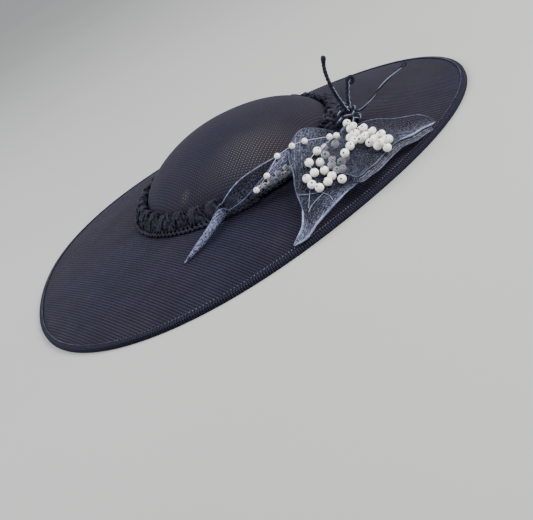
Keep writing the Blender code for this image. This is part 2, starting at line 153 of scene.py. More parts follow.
# Edges of the two open petals, as shares of the petal's length
# (first edge along, side, lift, middle lift, second edge along, side, lift)
FRONT_ROWS = (
    (-0.005, -0.02, 0.050, 0.045, -0.005, 0.02, 0.040),
    (0.22, -0.07, 0.205, 0.100, 0.18, 0.09, 0.045),
    (0.44, -0.09, 0.198, 0.078, 0.37, 0.19, 0.048),
    (0.58, -0.05, 0.137, 0.074, 0.49, 0.25, 0.062),
    (0.64, -0.04, 0.113, 0.078, 0.59, 0.29, 0.076),
    (0.70, -0.02, 0.093, 0.080, 0.70, 0.23, 0.076),
    (0.76, 0.01, 0.082, 0.076, 0.81, 0.16, 0.062),
    (0.82, 0.03, 0.067, 0.066, 0.88, 0.11, 0.048),
    (0.91, 0.035, 0.047, 0.042, 0.96, 0.07, 0.034),
    (0.995, -0.004, 0.021, 0.021, 1.00, 0.004, 0.021),
)
RIGHT_ROWS = (
    (0.31, -1.11, 0.228, 0.238, 0.21, -1.03, 0.248),
    (0.46, -1.15, 0.215, 0.236, 0.12, -0.84, 0.267),
    (0.57, -1.18, 0.209, 0.228, 0.11, -0.67, 0.256),
    (0.62, -1.04, 0.189, 0.212, 0.16, -0.50, 0.241),
    (0.67, -0.94, 0.183, 0.188, 0.16, -0.22, 0.205),
    (0.71, -0.72, 0.159, 0.165, 0.05, -0.12, 0.120),
    (0.74, -0.60, 0.148, 0.148, 0.00, 0.01, 0.060),
    (0.78, -0.49, 0.135, 0.130, 0.34, 0.00, 0.120),
    (0.87, -0.36, 0.111, 0.105, 0.55, -0.01, 0.108),
    (0.92, -0.21, 0.085, 0.080, 0.68, 0.06, 0.082),
    (0.97, -0.11, 0.065, 0.064, 0.81, 0.11, 0.065),
    (1.00, -0.03, 0.052, 0.052, 0.98, 0.02, 0.052),
)
# Rolled petal, as shares of its length (along, side, radius, lift of the roll's middle) and the front
# lip's angle in degrees, from the near side up
LEFT_ROWS = (
    (0.02, 0.000, 0.012, 0.022, 90),
    (0.10, 0.050, 0.018, 0.060, 92),
    (0.19, 0.090, 0.029, 0.082, 95),
    (0.26, 0.108, 0.043, 0.095, 95),
    (0.33, 0.120, 0.055, 0.102, 92),
    (0.40, 0.117, 0.060, 0.106, 72),
    (0.48, 0.093, 0.060, 0.108, 32),
    (0.56, 0.042, 0.054, 0.098, 0),
    (0.62, 0.005, 0.044, 0.082, -20),
    (0.67, -0.037, 0.030, 0.058, -15),
    (0.72, -0.053, 0.022, 0.041, 15),
    (0.85, -0.013, 0.018, 0.026, 35),
    (0.93, -0.004, 0.015, 0.021, 35),
    (1.00, -0.003, 0.012, 0.016, 35),
)

# Stamens
CORD_RADIUS = 0.0013
FINE_CORD_RADIUS = 0.0009
STAMEN_TALL = 0.0505
STAMEN_SHORT = 0.0250
STAMEN_LONG = 0.0580
STAMEN_LOOP = 0.0036
STAMEN_SET = 0.65

# Pearls
PEARL_RADIUS = 0.0035
SEAM_PEARL_RADIUS = 0.0025
ROLLED_BEAD_RADIUS = 0.0028


def polar(radius, angle):
    """A point in plan at a distance and an angle in radians from the hat's middle."""
    return Vector((radius * math.cos(angle), radius * math.sin(angle)))


def rim_radius(angle):
    """Distance from the hat's middle to the outermost edge."""
    oval = 1.0 / math.hypot(math.cos(angle) / (BRIM_LENGTH / 2), math.sin(angle) / (BRIM_WIDTH / 2))
    wave = sum(c * math.cos(n * angle) + s * math.sin(n * angle) for n, c, s in RIM_WAVES)
    return oval * (1.0 + wave)


def foot_radius(angle, outset=0.0):
    """Distance from the hat's middle to the crown's oval foot, which is shifted along X."""
    half_length = CROWN_LENGTH / 2 + outset
    half_width = CROWN_WIDTH / 2 + outset
    c = math.cos(angle)
    s = math.sin(angle)
    a = (c / half_length) ** 2 + (s / half_width) ** 2
    b = c * CROWN_SHIFT / half_length ** 2
    d = (CROWN_SHIFT / half_length) ** 2 - 1.0
    return (b + math.sqrt(b * b - a * d)) / a


RIM_TOP = BRIM_WALL + GAP + HEM_WALL
FOOT_LEVEL = RIM_TOP + BRIM_RISE
ROSETTE_BASE = FOOT_LEVEL + GAP


def brim_top(x, y):
    """Height of the brim's upper face at a place in plan."""
    angle = math.atan2(y, x)
    inner = foot_radius(angle)
    share = (math.hypot(x, y) - inner) / (rim_radius(angle) - inner)
    share = min(max(share, 0.0), 1.0)
    return RIM_TOP + BRIM_RISE * (1.0 - share ** BRIM_DROOP)


def smooth_rows(rows, steps):
    """Rows read between the table's rows, on a smooth curve through each column."""
    read = []
    for i in range(len(rows) - 1):
        before = rows[max(i - 1, 0)]
        start = rows[i]
        end = rows[i + 1]
        after = rows[min(i + 2, len(rows) - 1)]
        for k in range(steps):
            t = k / steps
            read.append(tuple(
                0.5 * (2 * b + (c - a) * t + (2 * a - 5 * b + 4 * c - d) * t * t
                       + (3 * b - a - 3 * c + d) * t ** 3)
                for a, b, c, d in zip(before, start, end, after)))
    read.append(tuple(rows[-1]))
    return read


def read_row(rows, share):
    """One row read at a share of the table's length."""
    place = min(max(share, 0.0), 1.0) * (len(rows) - 1)
    index = min(int(place), len(rows) - 2)
    t = place - index
    return tuple(a + (b - a) * t for a, b in zip(rows[index], rows[index + 1]))


def foot_place(degrees, outset):
    """A place beside the crown's foot and the way out from it, by the oval's own angle."""
    angle = math.radians(degrees)
    half_length = CROWN_LENGTH / 2
    half_width = CROWN_WIDTH / 2
    foot = Vector((CROWN_SHIFT + half_length * math.cos(angle), half_width * math.sin(angle)))
    outward = Vector((math.cos(angle) / half_length, math.sin(angle) / half_width)).normalized()
    return foot + outward * outset, outward


def rosette_frame():
    """Where the rosette stands against the crown's foot, the way along the foot and the way out from it."""
    middle, outward = foot_place(ROSETTE_ANGLE, 2 * GAP + ROSETTE_WIDTH / 2)
    return middle, Vector((outward.y, -outward.x)), outward


def rosette_reach(angle):
    """Distance from the rosette's middle to its oval outline."""
    along = rosette_frame()[1]
    outward = rosette_frame()[2]
    way = polar(1.0, angle)
    return 1.0 / math.hypot(way.dot(along) / (ROSETTE_LENGTH / 2), way.dot(outward) / (ROSETTE_WIDTH / 2))


def on_rosette(along, outward):
    """A point of the rosette's domed top, from shares of its half length and half width."""
    middle, along_way, outward_way = rosette_frame()
    place = middle + along_way * (along * ROSETTE_LENGTH / 2) + outward_way * (outward * ROSETTE_WIDTH / 2)
    turn = math.acos(min(math.hypot(along, outward), 0.99) ** (1.0 / ROSETTE_BLUNT))
    return Vector((place.x, place.y, ROSETTE_BASE + ROSETTE_HEIGHT * math.sin(turn) ** ROSETTE_BLUNT))


def rosette_place(along, outward, off):
    """A place off the rosette's domed top."""
    step = 0.01
    here = on_rosette(along, outward)
    over = on_rosette(along + step, outward) - here
    out = on_rosette(along, outward + step) - here
    normal = over.cross(out).normalized()
    return here + (normal if normal.z > 0 else -normal) * off


def petal_frame(seat, heading):
    """A petal's root on the rosette's side, its heading and its side direction, in plan."""
    angle = math.radians(seat)
    root = rosette_frame()[0] + polar(rosette_reach(angle) + GAP, angle)
    ahead = polar(1.0, math.radians(heading))
    return root, ahead, Vector((-ahead.y, ahead.x))


def on_petal(frame, length, row, across):
    """A point of an open petal, across from -1 at the first edge to 1 at the second."""
    root, ahead, side = frame
    first_along, first_side, first_lift, middle_lift, second_along, second_side, second_lift = row
    share = (across + 1.0) / 2.0
    along = first_along + (second_along - first_along) * share
    aside = first_side + (second_side - first_side) * share
    arch = middle_lift - (first_lift + second_lift) / 2.0
    lift = first_lift + (second_lift - first_lift) * share + arch * (1.0 - across * across)
    place = root + ahead * (along * length) + side * (aside * length)
    return Vector((place.x, place.y, brim_top(place.x, place.y) + lift * length))


def on_roll(row, degrees, outset):
    """A point on the rolled petal, by its angle from the near side and its distance off the wall."""
    root, ahead, side = petal_frame(LEFT_SEAT, LEFT_HEADING)
    along, aside, radius, lift = row[:4]
    middle = root + ahead * (along * LEFT_LENGTH) + side * (aside * LEFT_LENGTH)
    reach = radius * LEFT_LENGTH + outset
    turn = math.radians(degrees)
    near = middle + side * (reach * math.cos(turn))
    height = brim_top(middle.x, middle.y) + lift * LEFT_LENGTH + reach * math.sin(turn)
    return Vector((near.x, near.y, height))


# Stamens' routes: up, along X and towards the viewer, as shares of each one's length
TALL_ROUTE = (
    (0.00, 0.00, 0.00),
    (0.28, -0.04, 0.00),
    (0.52, -0.05, 0.00),
    (0.80, -0.02, 0.00),
    (1.00, 0.06, 0.00),
)
SHORT_ROUTE = (
    (0.00, 0.00, 0.00),
    (0.42, 0.15, 0.00),
    (0.85, 0.38, 0.00),
)
LONG_ROUTE = (
    (0.00, 0.00, 0.00),
    (-0.02, 0.12, 0.05),
    (0.04, 0.29, 0.07),
    (0.12, 0.49, 0.07),
    (0.19, 0.74, 0.07),
    (0.23, 0.97, 0.07),
)


random.seed(7)


def node(tree, kind, **settings):
    """Adds a shader node with its settings."""
    made = tree.nodes.new(kind)
    for key, value in settings.items():
        setattr(made, key, value)
    return made


def math_node(tree, operation, first, second=None, clamp=False):
    """Adds a math node whose inputs are sockets or numbers."""
    made = node(tree, "ShaderNodeMath", operation=operation, use_clamp=clamp)
    for index, value in enumerate((first, second)):
        if value is None:
            continue
        if isinstance(value, (int, float)):
            made.inputs[index].default_value = value
        else:
            tree.links.new(value, made.inputs[index])
    return made.outputs[0]


def ramp(tree, source, stops):
    """Colour ramp over a socket, from (place, colour) stops."""
    made = node(tree, "ShaderNodeValToRGB")
    tree.links.new(source, made.inputs[0])
    elements = made.color_ramp.elements
    while len(elements) < len(stops):
        elements.new(0.5)
    for element, (place, colour) in zip(elements, stops):
        element.position = place
        element.color = (*colour, 1.0)
    return made.outputs["Color"]


def noise_node(tree, vector, scale, detail=3.0, roughness=0.5):
    """Noise over a vector socket."""
    made = node(tree, "ShaderNodeTexNoise")
    made.inputs["Scale"].default_value = scale
    made.inputs["Detail"].default_value = detail
    made.inputs["Roughness"].default_value = roughness
    tree.links.new(vector, made.inputs["Vector"])
    return made.outputs["Fac"]


def wave_node(tree, vector, pitch, direction, distortion=0.0, distortion_scale=1.0):
    """Bands across a direction, one every pitch metres."""
    made = node(tree, "ShaderNodeTexWave", wave_type="BANDS", bands_direction=direction)
    made.inputs["Scale"].default_value = math.tau / (20.0 * pitch)
    made.inputs["Distortion"].default_value = distortion
    made.inputs["Detail"].default_value = 2.0
    made.inputs["Detail Scale"].default_value = distortion_scale
    tree.links.new(vector, made.inputs["Vector"])
    return made.outputs["Fac"]


def mix_colour(tree, share, first, second, blend="MIX"):
    """Mixes two colours, each a socket or a tuple, by a socket or a number."""
    made = node(tree, "ShaderNodeMix", data_type="RGBA", blend_type=blend)
    for index, value in ((0, share), (6, first), (7, second)):
        if isinstance(value, tuple):
            made.inputs[index].default_value = (*value, 1.0)
        elif isinstance(value, (int, float)):
            made.inputs[index].default_value = value
        else:
            tree.links.new(value, made.inputs[index])
    return made.outputs[2]


def new_material(name, roughness, sheen=0.0, sheen_tint=(1, 1, 1), coat=0.0, specular=0.5):
    """A Principled material with its constants set on the shader's own sockets."""
    made = bpy.data.materials.new(name)
    made.use_nodes = True
    shader = made.node_tree.nodes["Principled BSDF"]
    shader.inputs["Roughness"].default_value = roughness
    shader.inputs["Sheen Weight"].default_value = sheen
    shader.inputs["Sheen Roughness"].default_value = 0.45
    shader.inputs["Sheen Tint"].default_value = (*sheen_tint, 1.0)
    shader.inputs["Coat Weight"].default_value = coat
    shader.inputs["Specular IOR Level"].default_value = specular
    return made, made.node_tree, shader


def bump(tree, shader, height, strength, distance):
    """Gives the shader a bump from a height socket."""
    made = node(tree, "ShaderNodeBump")
    made.inputs["Strength"].default_value = strength
    made.inputs["Distance"].default_value = distance
    tree.links.new(height, made.inputs["Height"])
    tree.links.new(made.outputs["Normal"], shader.inputs["Normal"])


def turned_place(tree, degrees):
    """Object coordinates turned about the upright axis."""
    place = node(tree, "ShaderNodeTexCoord").outputs["Object"]
    turned = node(tree, "ShaderNodeMapping")
    turned.inputs["Rotation"].default_value = (0.0, 0.0, math.radians(degrees))
    tree.links.new(place, turned.inputs["Vector"])
    return place, turned.outputs["Vector"]


# Mesh straw in plan: turn and pitch of its ribs, then turn and pitch of the threads that cross them
BRIM_WEAVE = (65.5, 0.0025, 65.5, 0.0021)
CROWN_WEAVE = (70.5, 0.0022, 48.9, 0.0027)
HEM_PITCHES = (0.0013, 0.0021)


def straw_material(name, painted_through_light, rib_share, tones, weave, relief):
    """Navy mesh straw with ribs, cross threads, a faint sheen, cloudy changes of tone, painted shade in the
    weave's hollows and, when asked, painted light between the threads.
    """
    made, tree, shader = new_material(name, 0.66, 0.008, (0.62, 0.68, 1.0), 0.0, 0.06)
    rib_turn, rib_pitch, cross_turn, cross_pitch = weave
    place, turned = turned_place(tree, rib_turn)
    ribs = wave_node(tree, turned, rib_pitch, "Y", 1.0, 18.0)
    cross = wave_node(tree, turned_place(tree, cross_turn)[1], cross_pitch, "X", 0.8, 22.0)
    grain = noise_node(tree, place, 520.0, 3.0, 0.75)
    cloud = noise_node(tree, place, 9.0, 3.0, 0.55)
    blotch = noise_node(tree, place, 38.0, 4.0, 0.6)
    knots = math_node(tree, "MULTIPLY", ribs, cross)
    height = math_node(tree, "ADD", math_node(tree, "MULTIPLY", ribs, rib_share),
                       math_node(tree, "MULTIPLY", knots, 1.1 - rib_share))
    height = math_node(tree, "ADD", height, math_node(tree, "MULTIPLY", grain, 0.45))
    # Colour over the weave's height: the paler raised threads are the straw's own tone, the darker hollows
    # are partly painted shade
    light = math_node(tree, "MULTIPLY", height, math_node(tree, "ADD", blotch, 0.45))
    dark_tone, mid_tone, pale_tone = tones
    colour = ramp(tree, light, ((0.12, dark_tone), (0.62, mid_tone), (1.0, pale_tone)))
    warm = ramp(tree, cloud, ((0.35, (0.92, 0.95, 1.12)), (0.62, (1.16, 1.0, 0.98))))
    colour = mix_colour(tree, 1.0, colour, warm, "MULTIPLY")
    if painted_through_light:
        # Painted light: a pale colour between the threads where light would show through the crown's mesh
        colour = mix_colour(tree, painted_light_share(tree, place, ribs, cross), colour, (0.17, 0.166, 0.145))
    tree.links.new(colour, shader.inputs["Base Color"])
    bump(tree, shader, height, relief, 0.0007)
    return made


# Painted light between the crown's threads, as if seen through the mesh, and one small painted glint, in
# plan: middle, reach along X and Y, strength
PAINTED_LIGHT_PLACES = (
    (0.013, -0.076, 0.056, 0.038, 0.75),
    # A small painted glint
    (-0.052, -0.066, 0.008, 0.006, 0.75),
)


def painted_light_share(tree, place, ribs, cross):
    """Share of painted light between the threads, strongest at a few places."""
    split = node(tree, "ShaderNodeSeparateXYZ")
    tree.links.new(place, split.inputs[0])
    total = None
    for x, y, reach_x, reach_y, strength in PAINTED_LIGHT_PLACES:
        over = math_node(tree, "DIVIDE", math_node(tree, "SUBTRACT", split.outputs[0], x), reach_x)
        up = math_node(tree, "DIVIDE", math_node(tree, "SUBTRACT", split.outputs[1], y), reach_y)
        away = math_node(tree, "ADD", math_node(tree, "MULTIPLY", over, over),
                         math_node(tree, "MULTIPLY", up, up))
        near = math_node(tree, "SUBTRACT", 1.0, away, clamp=True)
        near = math_node(tree, "MULTIPLY", math_node(tree, "MULTIPLY", near, near), strength)
        total = near if total is None else math_node(tree, "MAXIMUM", total, near)
    holes = math_node(tree, "MULTIPLY", math_node(tree, "SUBTRACT", 1.0, ribs),
                      math_node(tree, "SUBTRACT", 1.0, cross))
    holes = math_node(tree, "POWER", holes, 2.6)
    return math_node(tree, "MULTIPLY", holes, total, clamp=True)


def hem_material(name):
    """The folded edge: the same straw, its threads running round and across the fold."""
    made, tree, shader = new_material(name, 0.66, 0.008, (0.62, 0.68, 1.0), 0.0, 0.03)
    run = node(tree, "ShaderNodeUVMap").outputs["UV"]
    place = node(tree, "ShaderNodeTexCoord").outputs["Object"]
    round_way = wave_node(tree, run, HEM_PITCHES[0], "X", 1.5, 8.0)
    across = wave_node(tree, run, HEM_PITCHES[1], "Y", 1.5, 8.0)
    grain = noise_node(tree, place, 700.0, 3.0, 0.75)
    height = math_node(tree, "ADD", math_node(tree, "MULTIPLY", round_way, across),
                       math_node(tree, "MULTIPLY", grain, 0.5))
    # Paler on the raised threads, darker between them: the straw's own tone with painted shade between the
    # threads
    stops = ((0.2, (0.0040, 0.0040, 0.0078)), (0.75, (0.017, 0.017, 0.031)), (1.0, (0.045, 0.047, 0.078)))
    tree.links.new(ramp(tree, height, stops), shader.inputs["Base Color"])
    bump(tree, shader, height, 0.8, 0.0006)
    return made


def yarn_material(name, dark, pale, scale=700.0, sheen=0.35):
    """Matt yarn whose fibres show as fine streaks and specks."""
    made, tree, shader = new_material(name, 0.7, sheen, (0.6, 0.66, 0.9), 0.0, 0.12)
    place = node(tree, "ShaderNodeTexCoord").outputs["Object"]
    fibres = noise_node(tree, place, scale, 4.0, 0.75)
    lumps = noise_node(tree, place, scale / 5, 2.0, 0.5)
    mixed = math_node(tree, "ADD", math_node(tree, "MULTIPLY", fibres, 0.65),
                      math_node(tree, "MULTIPLY", lumps, 0.4))
    tree.links.new(ramp(tree, mixed, ((0.38, dark), (0.72, pale))), shader.inputs["Base Color"])
    bump(tree, shader, mixed, 0.9, 0.0006)
    return made


def crin_material(name, dark, pale, clear, dense):
    """Open crin mesh: fine threads two ways, see-through between them, paler where it folds or doubles."""
    made, tree, shader = new_material(name, 0.45, 0.04, (0.65, 0.7, 1.0), 0.0, 0.22)
    place = node(tree, "ShaderNodeUVMap").outputs["UV"]
    ribs = wave_node(tree, place, 0.0021, "X", 2.5, 14.0)
    cross = wave_node(tree, place, 0.0017, "Y", 2.5, 14.0)
    ribs = math_node(tree, "POWER", ribs, 2.5)
    cross = math_node(tree, "POWER", cross, 2.5)
    threads = math_node(tree, "MAXIMUM", ribs, cross)
    fleck = noise_node(tree, place, 430.0, 3.0, 0.8)
    cloud = noise_node(tree, place, 45.0, 3.0, 0.6)
    long_way = node(tree, "ShaderNodeMapping")
    long_way.inputs["Scale"].default_value = (1.0, 0.07, 1.0)
    tree.links.new(place, long_way.inputs["Vector"])
    streak = noise_node(tree, long_way.outputs["Vector"], 700.0, 2.0, 0.6)
    streak = math_node(tree, "MULTIPLY", math_node(tree, "SUBTRACT", streak, 0.56), 4.5, clamp=True)
    paleness = node(tree, "ShaderNodeAttribute", attribute_name="pale").outputs["Fac"]
    fleck = math_node(tree, "MULTIPLY", math_node(tree, "SUBTRACT", fleck, 0.36), 2.6, clamp=True)
    light = math_node(tree, "MULTIPLY", threads, fleck)
    light = math_node(tree, "ADD", math_node(tree, "MULTIPLY", light, 0.75),
                      math_node(tree, "MULTIPLY", streak, 0.5))
    glow = math_node(tree, "MULTIPLY", paleness, math_node(tree, "ADD", fleck, 0.25))
    light = math_node(tree, "ADD", light, math_node(tree, "MULTIPLY", glow, 0.68), clamp=True)
    light = math_node(tree, "MULTIPLY", light, math_node(tree, "ADD", cloud, 0.4))
    tree.links.new(ramp(tree, light, ((0.15, dark), (0.95, pale))), shader.inputs["Base Color"])
    cover = math_node(tree, "ADD", clear, math_node(tree, "MULTIPLY", threads, dense))
    cover = math_node(tree, "ADD", cover, math_node(tree, "MULTIPLY", paleness, 0.35), clamp=True)
    tree.links.new(cover, shader.inputs["Alpha"])
    bump(tree, shader, threads, 0.5, 0.0004)
    return made


def pearl_material(name, pale, shade, roughness):
    """Glossy pearl with faint clouds of tone."""
    made, tree, shader = new_material(name, roughness, 0.0, (1, 1, 1), 0.35, 0.5)
    shader.inputs["Coat Roughness"].default_value = 0.12
    shader.inputs["Subsurface Weight"].default_value = 0.12
    shader.inputs["Subsurface Radius"].default_value = (0.002, 0.0018, 0.0015)
    place = node(tree, "ShaderNodeTexCoord").outputs["Object"]
    cloud = noise_node(tree, place, 320.0, 2.0, 0.5)
    tree.links.new(ramp(tree, cloud, ((0.3, shade), (0.6, pale))), shader.inputs["Base Color"])
    fine = noise_node(tree, place, 1400.0, 2.0, 0.5)
    bump(tree, shader, fine, 0.12, 0.0002)
    return made


BRIM_TONES = ((0.0044, 0.0042, 0.0070), (0.0108, 0.0104, 0.0178), (0.026, 0.0265, 0.046))
CROWN_TONES = ((0.0088, 0.0085, 0.0134), (0.0150, 0.0146, 0.0230), (0.024, 0.0245, 0.038))
STRAW = straw_material("navy_straw", False, 0.42, BRIM_TONES, BRIM_WEAVE, 0.8)
CROWN_STRAW = straw_material("navy_straw_crown", True, 0.08, CROWN_TONES, CROWN_WEAVE, 0.35)
HEM_STRAW = hem_material("navy_straw_hem")
GIMP = yarn_material("dark_gimp", (0.0015, 0.0015, 0.0030), (0.029, 0.030, 0.051), 480.0, 0.01)
LOOP_GIMP = yarn_material("loop_gimp", (0.002, 0.002, 0.004), (0.046, 0.050, 0.078), 480.0, 0.02)
CORD = yarn_material("dark_cord", (0.002, 0.0025, 0.005), (0.024, 0.028, 0.046), 500.0, 0.02)
# Pale thread, also used for painted highlights on the rosette's loops and along the long stamen
LIGHT_THREAD = yarn_material("light_thread", (0.10, 0.12, 0.19), (0.34, 0.38, 0.50), 600.0)
WHITE_THREAD = yarn_material("white_thread", (0.35, 0.35, 0.37), (0.75, 0.75, 0.76), 600.0)
HEM_THREAD = yarn_material("hem_thread", (0.015, 0.017, 0.028), (0.19, 0.20, 0.25), 260.0, 0.02)
CRIN_EDGE = yarn_material("crin_edge", (0.012, 0.015, 0.032), (0.15, 0.165, 0.26), 420.0, 0.05)
# Paler copy of the crin edge's yarn: a painted highlight on the stretches of edge that catch the light
BRIGHT_EDGE = yarn_material("bright_edge", (0.05, 0.06, 0.12), (0.34, 0.37, 0.54), 460.0, 0.05)
CRIN = crin_material("navy_crin", (0.004, 0.005, 0.012), (0.25, 0.275, 0.44), 0.16, 0.36)
ROLL_CRIN = crin_material("navy_crin_rolled", (0.006, 0.007, 0.019), (0.30, 0.33, 0.54), 0.12, 0.34)
FOLD_CRIN = crin_material("crin_fold", (0.020, 0.022, 0.034), (0.40, 0.42, 0.52), 0.60, 0.40)
PEARL = pearl_material("ivory_pearl", (0.97, 0.96, 0.93), (0.86, 0.84, 0.78), 0.22)
# Greyer copy of the pearl finish: painted shade for the pearls that lie under the petals' crin
SHADED_PEARL = pearl_material("veiled_pearl_painted_shade", (0.88, 0.88, 0.88), (0.62, 0.62, 0.64), 0.3)
ROLLED_PEARL = pearl_material("rolled_pearl", (1.0, 0.99, 0.95), (0.92, 0.90, 0.85), 0.3)
HOLE = yarn_material("pearl_hole", (0.05, 0.045, 0.04), (0.14, 0.13, 0.11), 900.0, 0.0)


def finish_piece(made, paint):
    """Gives a piece its material and its body."""
    if made.data.materials:
        made.data.materials.clear()
    made.data.materials.append(paint)
    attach(made, "root")
    return made


def add_mesh(name, data, paint):
    """Adds a mesh piece."""
    data.shade_smooth()
    made = bpy.data.objects.new(name, data)
    bpy.context.scene.collection.objects.link(made)
    return finish_piece(made, paint)


def grid_mesh(name, rows, around=False, closed=False, pale=None):
    """A sheet over rows of points, with metric UVs and a paleness for each point."""
    data = bpy.data.meshes.new(name)
    count = len(rows[0])
    points = [point for row in rows for point in row]
    faces = []
    columns = count if around else count - 1
    lines = len(rows) if closed else len(rows) - 1
    for i in range(lines):
        for k in range(columns):
            a = i * count + k
            b = i * count + (k + 1) % count
            step = ((i + 1) % len(rows)) * count
            faces.append((a, b, step + (k + 1) % count, step + k))
    data.from_pydata([tuple(point) for point in points], [], faces)
    middle = count // 2
    down = [0.0]
    for first, second in zip(rows, rows[1:]):
        down.append(down[-1] + (Vector(second[middle]) - Vector(first[middle])).length)
    spots = []
    for index, row in enumerate(rows):
        over = [0.0]
        for first, second in zip(row, row[1:]):
            over.append(over[-1] + (Vector(second) - Vector(first)).length)
        half = over[middle]
        spots += [(share - half, down[index]) for share in over]
    layer = data.uv_layers.new(name="UVMap")
    for loop in data.loops:
        layer.data[loop.index].uv = spots[loop.vertex_index]
    if pale:
        shades = data.attributes.new("pale", "FLOAT", "POINT")
        for index, value in enumerate(pale):
            shades.data[index].value = value
    data.update()
    return data


def thicken(piece, wall, offset):
    """Gives a sheet its wall."""
    solid = piece.modifiers.new("Wall", "SOLIDIFY")
    solid.thickness = wall
    solid.offset = offset


def cords(name, routes, radius, paint, swells=None, cyclic=False, sides=1):
    """Round cords through routes of points, one curve object."""
    data = bpy.data.curves.new(name, "CURVE")
    data.dimensions = "3D"
    data.bevel_depth = radius
    data.bevel_resolution = sides
    data.use_fill_caps = True
    for number, route in enumerate(routes):
        spline = data.splines.new("POLY")
        spline.points.add(len(route) - 1)
        spline.use_cyclic_u = cyclic
        for index, point in enumerate(route):
            spline.points[index].co = (*point, 1.0)
            spline.points[index].radius = swells[number][index] if swells else 1.0
    made = bpy.data.objects.new(name, data)
    bpy.context.scene.collection.objects.link(made)
    return finish_piece(made, paint)


def curve_through(points, steps):
    """Points on a smooth curve through a few places."""
    return [Vector(row) for row in smooth_rows([tuple(point) for point in points], steps)]


# Camera at the photograph's angle to the hat
camera_data = bpy.data.cameras.new("camera")
camera_data.lens = 67.54
camera_data.sensor_width = 36.0
camera_data.sensor_fit = "HORIZONTAL"
camera_data.clip_end = 200.0
camera = bpy.data.objects.new("camera", camera_data)
bpy.context.scene.collection.objects.link(camera)
camera.matrix_world = (
    Matrix.Translation((-0.0349, -0.8790, 0.2785))
    @ Matrix.Rotation(math.radians(-1.004), 4, "Z")
    @ Matrix.Rotation(math.radians(90 - 21.721), 4, "X")
    @ Matrix.Rotation(math.radians(-30.939), 4, "Z"))
bpy.context.scene.camera = camera


# Brim, hem and crown
BRIM_SIDES = 180
BRIM_LINES = 20


def brim_ripple(x, y):
    """Slight unevenness of the stiffened straw."""
    return 0.0004 * noise.noise(Vector((x * 14.0, y * 14.0, 3.0)))


def make_brim_cloth():
    """The brim's sheet, from a ledge under the crown to the fold of the hem."""
    rows = []
    for i in range(BRIM_LINES + 1):
        share = i / BRIM_LINES
        row = []
        for k in range(BRIM_SIDES):
            angle = math.tau * k / BRIM_SIDES
            inner = foot_radius(angle) - BRIM_LEDGE
            outer = rim_radius(angle) - HEM_WALL - GAP
            x, y = polar(inner + (outer - inner) * share, angle)
            row.append((x, y, brim_top(x, y) + brim_ripple(x, y) * math.sin(math.pi * share)))
        rows.append(row)
    made = add_mesh("brim_cloth", grid_mesh("brim_cloth", rows, around=True), STRAW)
    if sum(face.normal.z for face in made.data.polygons) < 0:
        made.data.flip_normals()
    thicken(made, BRIM_WALL, -1.0)
    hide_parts("brim")


def make_hem_band():
    """Folded edge with a rounded outer fold, a lip above and a deeper band below."""
    foot_end = HEM_ROUND + HEM_FOOT
    rows = []
    for i in range(BRIM_SIDES):
        angle = math.tau * i / BRIM_SIDES
        outer = rim_radius(angle)

        def over(depth):
            return brim_top(*polar(outer - depth, angle))

        top = RIM_TOP + GAP + HEM_WALL
        section = [(HEM_ROUND, 0.0), (HEM_ROUND * 0.3, HEM_ROUND * 0.3), (0.0, HEM_ROUND)]
        section += [(0.0, top - HEM_ROUND), (HEM_ROUND * 0.3, top - HEM_ROUND * 0.3)]
        section += [(HEM_ROUND, over(HEM_ROUND) + GAP + HEM_WALL)]
        section += [(HEM_LIP * 0.5, over(HEM_LIP * 0.5) + GAP + HEM_WALL)]
        section += [(HEM_LIP - 0.0008, over(HEM_LIP - 0.0008) + GAP + HEM_WALL * 0.6)]
        section += [(HEM_LIP, over(HEM_LIP) + GAP * 0.5)]
        section += [(HEM_LIP - 0.0002, over(HEM_LIP) - BRIM_WALL / 2)]
        section += [(HEM_WALL, over(HEM_WALL) - BRIM_WALL / 2)]
        section += [(HEM_WALL, over(HEM_WALL) - BRIM_WALL - GAP)]
        section += [(HEM_WIDTH, over(HEM_WIDTH) - BRIM_WALL)]
        section += [(HEM_WIDTH, over(HEM_WIDTH) - BRIM_WALL - GAP - HEM_WALL)]
        section += [(foot_end + HEM_WALL, over(foot_end + HEM_WALL) - BRIM_WALL - GAP - HEM_WALL)]
        section += [(foot_end, 0.0)]
        rows.append([(*polar(outer - depth, angle), height) for depth, height in section])
    data = grid_mesh("hem_band", rows, around=True, closed=True)
    work = bmesh.new()
    work.from_mesh(data)
    bmesh.ops.recalc_face_normals(work, faces=work.faces)
    work.to_mesh(data)
    work.free()
    made = add_mesh("hem_band", data, HEM_STRAW)
    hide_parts("brim_hem")


STITCH_PITCH = 0.0021
STITCH_RADIUS = 0.00030
STITCH_HALF = 0.00045
# Way in plan where the stitches show most, and how much larger they are there
STITCH_SIDE = Vector((0.8, -0.6))
STITCH_GROWTH = 0.45


def make_hem_stitches():
    """Tiny raised stitches in a line round the hem's inner edge."""
    girth = 0.0
    places = []
    swells = []
    for k in range(1440):
        angle = math.tau * k / 1440
        radius = rim_radius(angle) - HEM_LIP + 0.0006
        places.append(polar(radius, angle))
    routes = []
    for k, spot in enumerate(places):
        after = places[(k + 1) % len(places)]
        girth += (after - spot).length
        if girth < STITCH_PITCH:
            continue
        girth = 0.0
        way = (after - spot).normalized()
        inward = Vector((-way.y, way.x))
        first = spot - way * STITCH_HALF - inward * 0.0003
        second = spot + way * STITCH_HALF + inward * STITCH_HALF
        height = brim_top(spot.x, spot.y) + GAP + HEM_WALL + 0.00012
        routes.append([Vector((first.x, first.y, height)), Vector((second.x, second.y, height))])
        shown = max(0.0, spot.normalized().dot(STITCH_SIDE))
        size = 0.75 + STITCH_GROWTH * shown + random.uniform(-0.2, 0.2)
        swells.append([size, size])
    cords("hem_stitches", routes, STITCH_RADIUS, HEM_THREAD, swells)


CROWN_TURNS = 132
CROWN_LINES = 26


